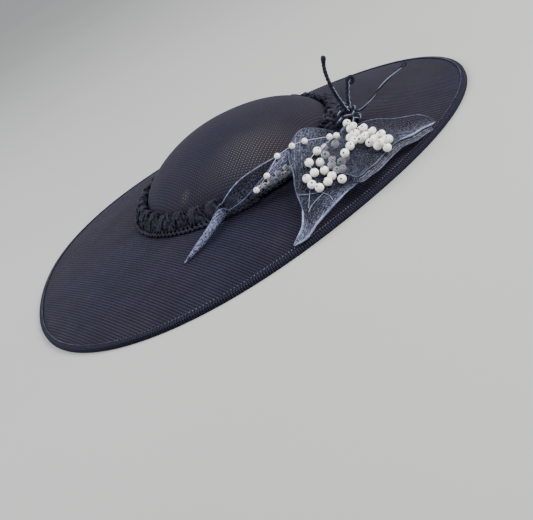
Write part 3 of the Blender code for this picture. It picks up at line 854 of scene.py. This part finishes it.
def make_crown_cloth():
    """The crown's domed sheet over a short upright collar, closed at the top."""
    base = FOOT_LEVEL + GAP
    dome = CROWN_HEIGHT - CROWN_COLLAR
    rows = [[] for _ in range(CROWN_LINES + 2)]
    for k in range(CROWN_TURNS):
        angle = math.tau * k / CROWN_TURNS
        for line in range(CROWN_LINES + 2):
            turn = max(line - 1, 0) / CROWN_LINES * math.radians(89.0)
            out = math.cos(turn) ** (2 / CROWN_FULLNESS)
            up = math.sin(turn) ** (2 / CROWN_FULLNESS)
            height = base if line == 0 else base + CROWN_COLLAR + dome * up
            x = CROWN_SHIFT + out * CROWN_LENGTH / 2 * math.cos(angle)
            y = out * CROWN_WIDTH / 2 * math.sin(angle)
            lift = 0.0005 * noise.noise(Vector((x * 18, y * 18, 9.0))) * up
            rows[line].append((x, y, min(height + lift, base + CROWN_HEIGHT)))
    data = grid_mesh("crown_cloth", rows, around=True)
    work = bmesh.new()
    work.from_mesh(data)
    work.verts.ensure_lookup_table()
    work.faces.new([work.verts[(CROWN_LINES + 1) * CROWN_TURNS + k] for k in range(CROWN_TURNS)])
    bmesh.ops.recalc_face_normals(work, faces=work.faces)
    work.to_mesh(data)
    work.free()
    made = add_mesh("crown_cloth", data, CROWN_STRAW)
    if sum(face.normal.z * face.area for face in made.data.polygons) < 0:
        made.data.flip_normals()
    thicken(made, CROWN_WALL, -1.0)
    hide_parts("crown")


make_brim_cloth()
make_hem_band()
make_hem_stitches()
make_crown_cloth()


# Gathered gimp round the crown's foot
def braid_span():
    """The braid's girth, the rosette's reach in degrees and the number of puffs."""
    girth = math.pi * (CROWN_LENGTH + CROWN_WIDTH + 2 * BRAID_WIDTH) / 2
    reach = (ROSETTE_LENGTH / 2 + 2 * GAP) / girth * 360.0
    puffs = round(girth * (1.0 - reach / 180.0) / BRAID_PUFF)
    return girth, reach, puffs


# Yarns of the braid: turns in each puff, strands, radius, how far off the puff's surface they run
BRAID_YARNS = (
    (1.0, 2, 0.00075, -0.0004),
    (-1.0, 1, 0.00085, -0.0002),
)
# Length of one knot of the yarn
BRAID_KNOT = 0.0046
# The core's dip at a pinch, its gathers, lumps and fine lumps, and how far it lies under the yarns
CORE_PINCH = 0.0022
CORE_GATHER = 0.00035
CORE_LUMP = 0.0015
CORE_FINE = 0.0009
CORE_SUNK = 0.0008


def braid_point(share, turn, out_by=0.0):
    """A point on the gathered braid, by its share round the crown and its angle about the braid."""
    reach, puffs = braid_span()[1:]
    degrees = ROSETTE_ANGLE + reach + (360.0 - 2 * reach) * share
    middle, outward = foot_place(degrees, 2 * GAP + BRAID_WIDTH / 2)
    swell = 1.0 - BRAID_PINCH * (0.5 + 0.5 * math.cos(math.tau * share * puffs)) ** 2
    out = (BRAID_WIDTH / 2 * swell + out_by) * math.cos(turn) - BRAID_LEAN * math.sin(turn)
    aside = middle + outward * out
    height = FOOT_LEVEL + GAP + BRAID_HEIGHT / 2 * swell * (1 + math.sin(turn)) + out_by * math.sin(turn)
    return Vector((aside.x, aside.y, height))


def make_braid():
    """Lumpy gathered core with yarns wound over it both ways."""
    girth = braid_span()[0]
    puffs = braid_span()[2]
    rows = []
    for i in range(puffs * 22 + 1):
        share = i / (puffs * 22)
        row = []
        for k in range(26):
            turn = math.tau * k / 26
            slant = share * puffs + 0.22 * math.sin(turn)
            pinch = (0.5 + 0.5 * math.cos(math.tau * slant)) ** 4
            gather = math.sin(6.0 * turn + 9.0 * share * puffs)
            lump = noise.noise(Vector((share * 330.0, math.cos(turn) * 1.6, math.sin(turn) * 1.6)))
            fine = noise.noise(Vector((share * 900.0, math.cos(turn) * 4.0, math.sin(turn) * 4.0)))
            rough = -CORE_PINCH * pinch + CORE_GATHER * gather + CORE_LUMP * lump + CORE_FINE * fine
            row.append(braid_point(share, turn, rough - CORE_SUNK))
        rows.append(row)
    core = add_mesh("braid_core", grid_mesh("braid_core", rows, around=True), GIMP)
    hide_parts("crown_braid")
    for number, (turns, strands, radius, sunk) in enumerate(BRAID_YARNS):
        routes = []
        swells = []
        for strand in range(strands):
            route = []
            swell = []
            steps = puffs * 40
            for i in range(steps + 1):
                share = i / steps
                wobble = noise.noise(Vector((share * 190.0, number * 7.0 + strand, 1.0)))
                turn = math.tau * (share * puffs * turns + strand / strands) + wobble * 0.9
                pinch = (0.5 + 0.5 * math.cos(math.tau * share * puffs)) ** 3
                out_by = sunk - 0.0016 * pinch
                out_by += 0.0013 * noise.noise(Vector((share * 420.0, number * 3.0, strand)))
                route.append(braid_point(share, turn, out_by))
                knot = abs(math.sin(math.pi * (share * girth / BRAID_KNOT + strand * 0.37)))
                lump = noise.noise(Vector((share * 520.0, number, strand * 5.0)))
                swell.append(0.62 + 0.55 * knot + 0.4 * lump)
            routes.append(route)
            swells.append(swell)
        yarn = cords(f"braid_yarn_{number + 1}", routes, radius, GIMP, swells)
        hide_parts("crown_braid")


# Loops along the braid's foot: their pitch, then for each strand its reach out, its height and its width
LOOP_PITCH = 0.0050
LOOP_STRANDS = (
    (0.0010, 0.0022, 0.0040),
    (0.0052, 0.0012, 0.0020),
)
# Stretch of the foot, as shares, where the second strand shows
SECOND_STRAND = (0.30, 0.86)


def make_braid_edge():
    """Small loops along the braid's outer foot, and the thin looped strand below them."""
    girth, reach = braid_span()[:2]
    count = int(girth / LOOP_PITCH)
    routes = []
    for strand, (reach_out, height, width) in enumerate(LOOP_STRANDS):
        route = []
        for i in range(count * 10 + 1):
            share = i / (count * 10)
            if strand == 1 and not SECOND_STRAND[0] < share < SECOND_STRAND[1]:
                continue
            phase = math.tau * share * count
            degrees = ROSETTE_ANGLE + reach + (360.0 - 2 * reach) * (share - 0.0016 * math.sin(2 * phase))
            swing = 0.5 - 0.5 * math.cos(phase)
            jitter = noise.noise(Vector((share * 120.0, strand * 4.0, 0.0)))
            out = 2 * GAP + BRAID_WIDTH + reach_out - width * (1 - swing) + 0.0010 * jitter
            place = foot_place(degrees, out)[0]
            level = brim_top(place.x, place.y) + height + 0.0016 * (1 - swing)
            route.append(Vector((place.x, place.y, level)))
        routes.append(route)
    swells = [[1.0 + 0.4 * noise.noise(Vector((k * 0.37, 1.0, s))) for k in range(len(route))]
              for s, route in enumerate(routes)]
    cords("braid_edge_loops", routes, 0.00115, GIMP, swells)


def loop_points(centre, ahead, up, length, width, twist, steps=14):
    """A rounded loop that leaves a place and comes back to it."""
    points = []
    side = ahead.cross(up).normalized()
    for k in range(steps):
        t = math.tau * k / steps
        reach = 0.5 - 0.5 * math.cos(t)
        sway = math.sin(t) * (0.6 + 0.4 * reach)
        lift = math.sin(t) * twist
        points.append(centre + ahead * (length * reach) + side * (width / 2 * sway) + up * (width * lift))
    return points


# Rings of the rosette: angle up the dome in degrees, number of loops, their length and width
ROSETTE_RINGS = (
    (8, 15, 0.0070, 0.0072),
    (30, 12, 0.0078, 0.0076),
    (52, 8, 0.0074, 0.0070),
    (74, 5, 0.0060, 0.0056),
)


def make_rosette_loops():
    """Tight knot of looped yarn over a dark domed core."""
    middle = rosette_frame()[0]
    rows = []
    for turn in range(0, 90, 8):
        out = math.cos(math.radians(turn)) ** ROSETTE_BLUNT
        up = math.sin(math.radians(turn)) ** ROSETTE_BLUNT
        row = []
        for i in range(42):
            angle = math.tau * i / 42
            scallop = 1.0 - ROSETTE_SCALLOP * math.cos(ROSETTE_LOOPS * angle / 2) ** 2
            point = middle + polar(rosette_reach(angle) * out * scallop * 0.86, angle)
            row.append((point.x, point.y, ROSETTE_BASE + ROSETTE_HEIGHT * up * 0.86))
        rows.append(row)
    core = add_mesh("rosette_core", grid_mesh("rosette_core", rows, around=True), GIMP)
    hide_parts("rosette")
    routes = []
    highlight_outlines = []
    for ring, (turn, count, length, width) in enumerate(ROSETTE_RINGS):
        for k in range(count):
            angle = math.tau * (k + 0.5 * (ring % 2)) / count + random.uniform(-0.12, 0.12)
            lean = math.radians(turn + random.uniform(-7, 7))
            out = math.cos(lean) ** ROSETTE_BLUNT * 0.72
            up = math.sin(lean) ** ROSETTE_BLUNT * 0.72
            spot = middle + polar(rosette_reach(angle) * out, angle)
            centre = Vector((spot.x, spot.y, ROSETTE_BASE + ROSETTE_HEIGHT * up))
            flat = polar(1.0, angle)
            c = math.cos(lean)
            s = math.sin(lean)
            ahead = Vector((flat.x * c, flat.y * c, s * 0.8)).normalized()
            upright = Vector((-flat.x * s, -flat.y * s, c)).normalized()
            points = loop_points(centre, ahead, upright, length, width, random.uniform(-0.35, 0.35))
            points = [Vector((p.x, p.y, max(p.z, ROSETTE_BASE + 0.0006))) for p in points]
            routes.append(points)
            # Painted highlight: a pale thread along the loops on the rosette's lit side
            if ring < 3 and -2.0 < angle - math.tau * (angle > math.pi) < 1.4:
                highlight_outlines.append([p + ahead * 0.0010 + upright * 0.0004 for p in points])
    swells = [[1.0 + random.uniform(-0.22, 0.22) for _ in route] for route in routes]
    loops = cords("rosette_loops", routes, 0.0013, LOOP_GIMP, swells, cyclic=True)
    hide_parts("rosette")
    cords("rosette_painted_highlight", highlight_outlines, 0.00040, LIGHT_THREAD, None, cyclic=True)


make_braid()
make_braid_edge()
make_rosette_loops()


# Petals
SHEET_STEPS = 8
SHEET_ACROSS = 28


def front_paleness(across, share):
    """Pale along the lower half's second edge and at the tip."""
    low = min(1.0, max(0.0, (share - 0.35) / 0.25))
    tip = min(1.0, max(0.0, (share - 0.78) / 0.15))
    shoulder = 0.65 * max(0.0, 1.0 - abs(share - 0.16) / 0.16) * max(0.0, 0.1 - across) / 1.1
    return max(0.85 * low * ((across + 1) / 2) ** 5, tip, 0.45 * low * abs(across) ** 14, shoulder)


def right_paleness(across, share):
    """Pale along the first edge towards the tip."""
    low = min(1.0, max(0.0, (share - 0.55) / 0.2))
    bare = 0.95 * low * min(1.0, max(0.0, across + 0.3))
    return max(0.8 * low * ((1 - across) / 2) ** 6, 0.3 * max(0.0, (share - 0.92) / 0.08)) - bare


def open_petal(name, target, petal, length, table, paleness):
    """Fine sheet of an open petal; gives back the points along its two edges, where its rolled edges go."""
    rows = smooth_rows(table, SHEET_STEPS)
    grid = []
    pale = []
    for index, row in enumerate(rows):
        share = index / (len(rows) - 1)
        line = []
        for k in range(SHEET_ACROSS + 1):
            across = -1.0 + 2.0 * k / SHEET_ACROSS
            point = on_petal(petal, length, row, across)
            ripple = 0.0006 * noise.noise(Vector((point.x * 60.0, point.y * 60.0, 4.0)))
            line.append(point + Vector((0.0, 0.0, ripple * (1 - across * across))))
            pale.append(paleness(across, share))
        grid.append(line)
    made = add_mesh(name, grid_mesh(name, grid, pale=pale), CRIN)
    thicken(made, 0.0004, 0.0)
    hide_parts(target)
    first = [on_petal(petal, length, row, -1.0) for row in rows]
    second = [on_petal(petal, length, row, 1.0) for row in rows]
    return first, second


def edge_swells(routes, low=0.35, amount=0.3, seed=0.0):
    """Uneven thickness along rolled edges, thinner at both ends."""
    made = []
    for number, route in enumerate(routes):
        last = len(route) - 1
        line = []
        for k in range(len(route)):
            taper = min(1.0, low + 4.0 * min(k, last - k) / last)
            line.append(taper * (1.0 + amount * noise.noise(Vector((k * 0.45, seed, number)))))
        made.append(line)
    return made


front_frame = petal_frame(FRONT_SEAT, FRONT_HEADING)
right_frame = petal_frame(RIGHT_SEAT, RIGHT_HEADING)
front_first, front_second = open_petal("front_petal_crin", "front_petal", front_frame, FRONT_LENGTH,
                                       FRONT_ROWS, front_paleness)
right_first, right_second = open_petal("right_petal_crin", "right_petal", right_frame, RIGHT_LENGTH,
                                       RIGHT_ROWS, right_paleness)
cords("front_petal_edge", [front_first, front_second], 0.00055, CRIN_EDGE,
      edge_swells([front_first, front_second]))
cords("right_petal_edge", [right_first, right_second], 0.00050, CRIN_EDGE,
      edge_swells([right_first, right_second], seed=3.0))


def bright_edges():
    """The stretches of rolled edge that catch the light, the light painted on as a paler yarn."""
    routes = []
    for route, start in ((front_second, 0.50), (front_first, 0.72), (right_first, 0.62)):
        routes.append([point + Vector((0.0, 0.0, 0.0002)) for point in route[int(start * len(route)):]])
    swells = edge_swells(routes, 0.2, 0.4, 9.0)
    cords("petal_bright_edges", routes, 0.00085, BRIGHT_EDGE, swells)


def folded_band():
    """The right petal's lower edge turned under, a narrow ribbed band that shows below it."""
    rows = smooth_rows(RIGHT_ROWS, SHEET_STEPS)
    first = int(0.14 * len(rows))
    last = int(0.93 * len(rows))
    grid = []
    for index in range(first, last):
        share = (index - first) / (last - 1 - first)
        edge = on_petal(right_frame, RIGHT_LENGTH, rows[index], -1.0)
        inward = on_petal(right_frame, RIGHT_LENGTH, rows[index], -0.8)
        out = Vector((edge.x - inward.x, edge.y - inward.y, 0.0)).normalized()
        reach = 0.0055 * math.sin(math.pi * share) ** 0.6 + 0.0002
        rib = 0.0003 * math.sin(math.tau * index / 2.0)
        line = []
        for k in range(7):
            t = k / 6
            drop = -0.0010 - 0.0030 * t + rib
            line.append(edge + out * (reach * (t * 1.25 - 0.25)) + Vector((0.0, 0.0, drop)))
        grid.append(line)
    made = add_mesh("right_petal_fold", grid_mesh("right_petal_fold", grid), FOLD_CRIN)
    thicken(made, 0.0004, 0.0)
    cords("right_petal_fold_edge", [[line[-1] for line in grid]], 0.00045, CRIN_EDGE)


def petal_threads():
    """Fine threads that cross the front petal."""
    routes = []
    for places in (((0.565, -0.97), (0.555, -0.5), (0.535, 0.0), (0.545, 0.1)),
                   ((0.545, 0.1), (0.57, 0.45), (0.60, 0.75)),
                   ((0.545, 0.1), (0.65, -0.1), (0.74, -0.2)),
                   ((0.42, -0.50), (0.56, -0.45), (0.70, -0.3))):
        points = [on_petal(front_frame, FRONT_LENGTH, read_row(FRONT_ROWS, share), across)
                  + Vector((0.0, 0.0, 0.0006)) for share, across in places]
        routes.append(curve_through(points, 6))
    cords("front_petal_threads", routes, 0.00022, LIGHT_THREAD)


bright_edges()
folded_band()
petal_threads()


def make_roll():
    """The rolled petal with its two lips."""
    rows = smooth_rows(LEFT_ROWS, SHEET_STEPS)
    grid = []
    pale = []
    front_lip = []
    back_lip = []
    for index, row in enumerate(rows):
        share = index / (len(rows) - 1)
        tail = min(1.0, max(0.0, share - 0.70) / 0.10)
        lip = row[4] + (112.0 - row[4]) * tail
        thin = 1.0 + 0.25 * math.sin(math.pi * tail) - 0.82 * max(0.0, (share - 0.86) / 0.14) ** 1.5
        row = (row[0], row[1], row[2] * thin, row[3] - row[2] * (1.0 - thin) * 0.8, row[4])
        line = []
        for k in range(37):
            turn = lip + (ROLL_BACK_LIP - lip) * k / 36
            line.append(on_roll(row, turn, 0.0))
            front = max(0.0, 1.0 - k / 16.0) * 0.75 * min(1.0, max(0.0, (0.62 - share) / 0.15))
            edge = max(0.0, 1.0 - min(k, 36 - k) / 1.5) * 0.6
            pale.append(max(edge * (1.0 - tail), front, 0.80 * tail))
        grid.append(line)
        front_lip.append(line[0])
        back_lip.append(line[-1])
    data = grid_mesh("left_petal_crin", grid, pale=pale)
    made = add_mesh("left_petal_crin", data, ROLL_CRIN)
    thicken(made, 0.0004, 0.0)
    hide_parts("left_petal")
    keep = int(0.76 * len(rows))
    lips = [front_lip[:keep], back_lip[:keep]]
    cords("left_petal_edge", lips, 0.00055, CRIN_EDGE, edge_swells(lips, 0.2, 0.3, 6.0))
    # Painted highlight along the rolled petal's back lip, in the paler edge yarn
    ridge = [point + Vector((0.0, 0.0, 0.0003)) for point in back_lip[int(0.3 * len(rows)):keep]]
    swells = edge_swells([ridge], 0.1, 0.5, 12.0)
    cords("left_petal_bright", [ridge], 0.00050, BRIGHT_EDGE, swells)


make_roll()


# Stamens
def twisted(points, radius, turns, strands=2):
    """Strands wound round a route, for a corded look."""
    routes = []
    for strand in range(strands):
        route = []
        for k, point in enumerate(points):
            before = points[max(k - 1, 0)]
            after = points[min(k + 1, len(points) - 1)]
            way = (after - before).normalized()
            side = way.cross(Vector((0.0, 1.0, 0.01))).normalized()
            front = way.cross(side)
            turn = math.tau * (turns * k / (len(points) - 1) + strand / strands)
            route.append(point + side * (radius * math.cos(turn)) + front * (radius * math.sin(turn)))
        routes.append(route)
    return routes


def route_points(root, length, route, steps):
    """Points of a stamen's smooth route."""
    return [root + Vector((x * length, -near * length, up * length))
            for up, x, near in smooth_rows(route, steps)]


def make_stamens():
    """A tall stamen, a short one that ends in a curl and a long fine one that ends in a loop."""
    set_in = CORD_RADIUS * STAMEN_SET
    tall = route_points(rosette_place(0.16, 0.79, set_in), STAMEN_TALL, TALL_ROUTE, 12)
    swell = [1.0 + 0.12 * noise.noise(Vector((k * 0.9, 0.0, 0.0))) for k in range(len(tall))]
    for k in range(len(tall) - 8, len(tall)):
        swell[k] *= 1.0 + 0.45 * math.sin(math.pi * (k - len(tall) + 8) / 9)
    routes = twisted(tall, CORD_RADIUS * 0.45, 9)
    made = cords("stamen_tall_cord", routes, CORD_RADIUS * 0.98, CORD, [swell, swell], sides=2)
    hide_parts("stamen_tall")
    aside = Vector((0.0012, -0.0013, 0.0))
    lower = tall[: len(tall) // 2]
    thread = [point + aside * (1.0 + 0.25 * math.sin(k * 1.9)) for k, point in enumerate(lower)]
    cords("stamen_tall_thread", [thread], 0.00036, LIGHT_THREAD)

    stem = route_points(rosette_place(-0.10, 0.80, set_in), STAMEN_SHORT, SHORT_ROUTE, 8)
    curl = [Vector((math.cos(turn), 0.0, math.sin(turn))) * (STAMEN_LOOP * 0.72)
            for turn in (math.radians(175 - 12 * k) for k in range(28))]
    centre = stem[-1] - curl[0]
    whole = stem + [centre + way for way in curl[1:]]
    made = cords("stamen_short_cord", twisted(whole, CORD_RADIUS * 0.5, 9), CORD_RADIUS * 0.9, CORD,
                 sides=2)
    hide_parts("stamen_short")
    thread = [point + aside * (1.0 + 0.3 * math.sin(k * 2.1)) for k, point in enumerate(stem)]
    cords("stamen_short_thread", [thread], 0.00038, LIGHT_THREAD)

    reach = route_points(rosette_place(-0.14, 0.92, set_in), STAMEN_LONG, LONG_ROUTE, 8)
    body = reach[:-3]
    strands = twisted(body, FINE_CORD_RADIUS * 0.6, 2)
    made = cords("stamen_long_cord", strands[:1], FINE_CORD_RADIUS * 0.75, CORD, sides=2)
    # The second strand is pale thread, a painted highlight along the fine cord
    cords("stamen_long_painted_highlight", strands[1:], FINE_CORD_RADIUS * 0.45, LIGHT_THREAD)
    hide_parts("stamen_long")
    way = (reach[-1] - reach[-4]).normalized()
    end = body[-1]
    ring = loop_points(end, way, Vector((0.0, -1.0, 0.0)), 0.0052, 0.0030, 0.0, 18)
    cords("stamen_long_loop", [ring], FINE_CORD_RADIUS * 0.6, CORD, None, cyclic=True, sides=2)


make_stamens()


# Pearls
def pearl_mesh(name, centre, radius, axis):
    """A round bead with a small drilled hole at both ends of its axis."""
    hole = 0.20
    profile = [(0.0, 0.80), (hole * 0.9, 0.82)]
    start = math.asin(hole * 1.15)
    for k in range(13):
        turn = start + (math.pi - 2 * start) * k / 12
        profile.append((math.sin(turn), math.cos(turn)))
    profile += [(hole * 0.9, -0.82), (0.0, -0.80)]
    work = bmesh.new()
    rows = []
    for out, up in profile:
        rows.append([work.verts.new((out * radius * math.cos(math.tau * k / 18) + 1e-7 * k,
                                     out * radius * math.sin(math.tau * k / 18), up * radius))
                     for k in range(18)])
    for low, high in zip(rows, rows[1:]):
        for k in range(18):
            work.faces.new((low[k], low[(k + 1) % 18], high[(k + 1) % 18], high[k]))
    bmesh.ops.remove_doubles(work, verts=work.verts, dist=radius * 0.02)
    bmesh.ops.recalc_face_normals(work, faces=work.faces)
    turn = Vector((0.0, 0.0, 1.0)).rotation_difference(axis).to_matrix().to_4x4()
    bmesh.ops.transform(work, matrix=Matrix.Translation(centre) @ turn, verts=work.verts)
    for face in work.faces:
        if (face.calc_center_median() - centre).length < 0.93 * radius:
            face.material_index = 1
    data = bpy.data.meshes.new(name)
    work.to_mesh(data)
    work.free()
    return data


def hole_way(spread=0.9):
    """A bead's hole direction, mostly up and towards the trimming's front."""
    aside = random.uniform(-spread, spread)
    near = -0.8 + random.uniform(-spread, spread)
    return Vector((aside, near, 0.9)).normalized()


def add_pearl(name, centre, radius, paint):
    """Adds one bead with dark holes."""
    made = add_mesh(name, pearl_mesh(name, centre, radius, hole_way()), paint)
    made.data.materials.append(HOLE)
    return made


centres = {}
for name in sorted(frame["nodes"]):
    if "pearl" in name:
        low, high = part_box(name)
        centres[name] = (low + high) / 2
# Pearls under the crin, which take the greyer finish of painted shade
UNDER_NAMES = ("pearl_12", "pearl_13", "pearl_14", "pearl_15")
for name, centre in centres.items():
    small = name.startswith("seam")
    radius = SEAM_PEARL_RADIUS if small else PEARL_RADIUS
    made = add_pearl(name + "_round", centre, radius, SHADED_PEARL if name in UNDER_NAMES else PEARL)
    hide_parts(name)

# Upper layer of the heap: each bead rests in the hollow between these pearls
HEAP_HOLLOWS = (
    (16, 17, 21, 22),
    (17, 18, 22, 23),
    (18, 19, 23, 24),
    (19, 20, 24, 25),
    (21, 22, 26),
)
for number, hollow in enumerate(HEAP_HOLLOWS):
    spots = [centres[f"pearl_{k:02d}"] for k in hollow]
    middle = sum(spots, Vector()) / len(spots)
    normal = (spots[1] - spots[0]).cross(spots[-1] - spots[0]).normalized()
    if normal.z < 0:
        normal = -normal
    wide = max((spot - middle).length for spot in spots)
    rise = math.sqrt(max((2 * PEARL_RADIUS) ** 2 - wide ** 2, 0.0)) + GAP
    add_pearl(f"heap_pearl_{number + 1:02d}", middle + normal * rise, PEARL_RADIUS, PEARL)

HEAP_PAIRS = ((16, 17), (17, 18), (18, 19), (19, 20), (21, 22), (22, 23), (23, 24), (24, 25), (20, 25))
for number, (first, second) in enumerate(HEAP_PAIRS):
    middle = (centres[f"pearl_{first:02d}"] + centres[f"pearl_{second:02d}"]) / 2
    shift = Vector((random.uniform(-0.0006, 0.0006), random.uniform(-0.0016, -0.0008), 0.0042))
    add_pearl(f"heap_bead_{number + 1:02d}", middle + shift, random.uniform(0.0026, 0.0031), PEARL)

# More beads under the right petal: share along the front petal's table, across from -1 to 1
VEILED_BEADS = (
    (0.10, 0.75),
    (0.235, 0.33),
    (0.33, 0.58),
    (0.23, 0.82),
    (0.335, 0.38),
    (0.17, 0.10),
)
VEILED_RADIUS = 0.0031
for number, (share, across) in enumerate(VEILED_BEADS):
    spot = on_petal(front_frame, FRONT_LENGTH, read_row(FRONT_ROWS, share), across)
    centre = spot + Vector((0.0, 0.0, VEILED_RADIUS + PETAL_WALL))
    # Painted shade: these beads under the right petal take the greyer pearl finish
    add_pearl(f"veiled_bead_{number + 1:02d}", centre, VEILED_RADIUS, SHADED_PEARL)

ROLLED_BEADS = (
    (0.320, -52),
    (0.343, -56),
    (0.366, -60),
    (0.389, -64),
    (0.412, -60),
    (0.435, -64),
    (0.458, -60),
    (0.481, -64),
    (0.504, -68),
    (0.370, 0),
    (0.415, -4),
    (0.455, -12),
)
inner = -PETAL_WALL - ROLLED_BEAD_RADIUS - 3 * GAP
for number, (share, turn) in enumerate(ROLLED_BEADS):
    centre = on_roll(read_row(LEFT_ROWS, share), turn, inner)
    made = add_pearl(f"rolled_bead_{number + 1:02d}", centre, ROLLED_BEAD_RADIUS, ROLLED_PEARL)
    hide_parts("rolled_beads")


def fine_threads():
    """White sewing threads that run from pearl to pearl, and a few loose fibres."""
    runs = (
        ("seam_pearl_07", "seam_pearl_05", "seam_pearl_04", "seam_pearl_03"),
        ("seam_pearl_06", "pearl_01", "pearl_02", "pearl_04"),
        ("seam_pearl_03", "seam_pearl_02", "seam_pearl_01"),
    )
    routes = []
    for run in runs:
        spots = [centres[name] + Vector((0.0, -0.0006, 0.0004)) for name in run]
        routes.append(curve_through(spots, 6))
    cords("pearl_threads", routes, 0.00018, WHITE_THREAD)
    fibres = []
    for k in range(16):
        angle = random.uniform(0, math.tau)
        radius = foot_radius(angle, BRAID_WIDTH) + random.uniform(0.0, 0.002)
        spot = polar(radius, angle)
        base = Vector((spot.x, spot.y, brim_top(spot.x, spot.y) + 0.003))
        reach = random.uniform(0.003, 0.007)
        way = Vector((math.cos(angle), math.sin(angle), random.uniform(-0.1, 0.5)))
        bend = Vector((-way.y, way.x, 0.2)) * random.uniform(-0.5, 0.5)
        shares = (0.0, 0.25, 0.5, 0.75, 1.0)
        fibres.append([base + way * (reach * t) + bend * (reach * t * t) for t in shares])
    cords("loose_fibres", fibres, 0.00012, GIMP)


fine_threads()


# Floor, light and background
FLOOR_REACH = 60.0
# Lights: name, place, what they look at, size, power and colour
LIGHTS = (
    ("window", (-1.3, 0.3, 1.3), (0.0, 0.0, 0.03), 1.2, 34.0, (0.93, 0.96, 1.0)),
    ("front_fill", (1.4, -0.5, 1.2), (0.05, -0.05, 0.03), 1.2, 62.0, (1.0, 0.98, 0.95)),
)


def make_floor():
    """A wide plain floor under the hat, part of the stage."""
    data = bpy.data.meshes.new("floor")
    corners = [(x * FLOOR_REACH, y * FLOOR_REACH, 0.0) for x, y in ((-1, -1), (1, -1), (1, 1), (-1, 1))]
    data.from_pydata(corners, [], [(0, 1, 2, 3)])
    floor = bpy.data.objects.new("floor", data)
    bpy.context.scene.collection.objects.link(floor)
    made, tree, shader = new_material("floor_paper", 0.9, 0.0, (1, 1, 1), 0.0, 0.2)
    place = node(tree, "ShaderNodeTexCoord").outputs["Object"]
    cloud = noise_node(tree, place, 2.0, 2.0, 0.5)
    tree.links.new(ramp(tree, cloud, ((0.3, (0.37, 0.37, 0.355)), (0.7, (0.39, 0.39, 0.375)))),
                   shader.inputs["Base Color"])
    data.materials.append(made)
    floor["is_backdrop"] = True


def area_light(name, place, target, size, power, colour):
    """A soft square light that looks at a place."""
    data = bpy.data.lights.new(name, "AREA")
    data.shape = "RECTANGLE"
    data.size = size
    data.size_y = size
    data.energy = power
    data.color = colour
    lamp = bpy.data.objects.new(name, data)
    bpy.context.scene.collection.objects.link(lamp)
    lamp.location = place
    lamp.rotation_euler = (Vector(target) - Vector(place)).to_track_quat("-Z", "Y").to_euler()


make_floor()
for light in LIGHTS:
    area_light(*light)
world = bpy.data.worlds.new("studio")
world.use_nodes = True
world.node_tree.nodes["Background"].inputs["Color"].default_value = (0.93, 0.95, 1.0, 1.0)
world.node_tree.nodes["Background"].inputs["Strength"].default_value = 0.95
bpy.context.scene.world = world

low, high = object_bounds()
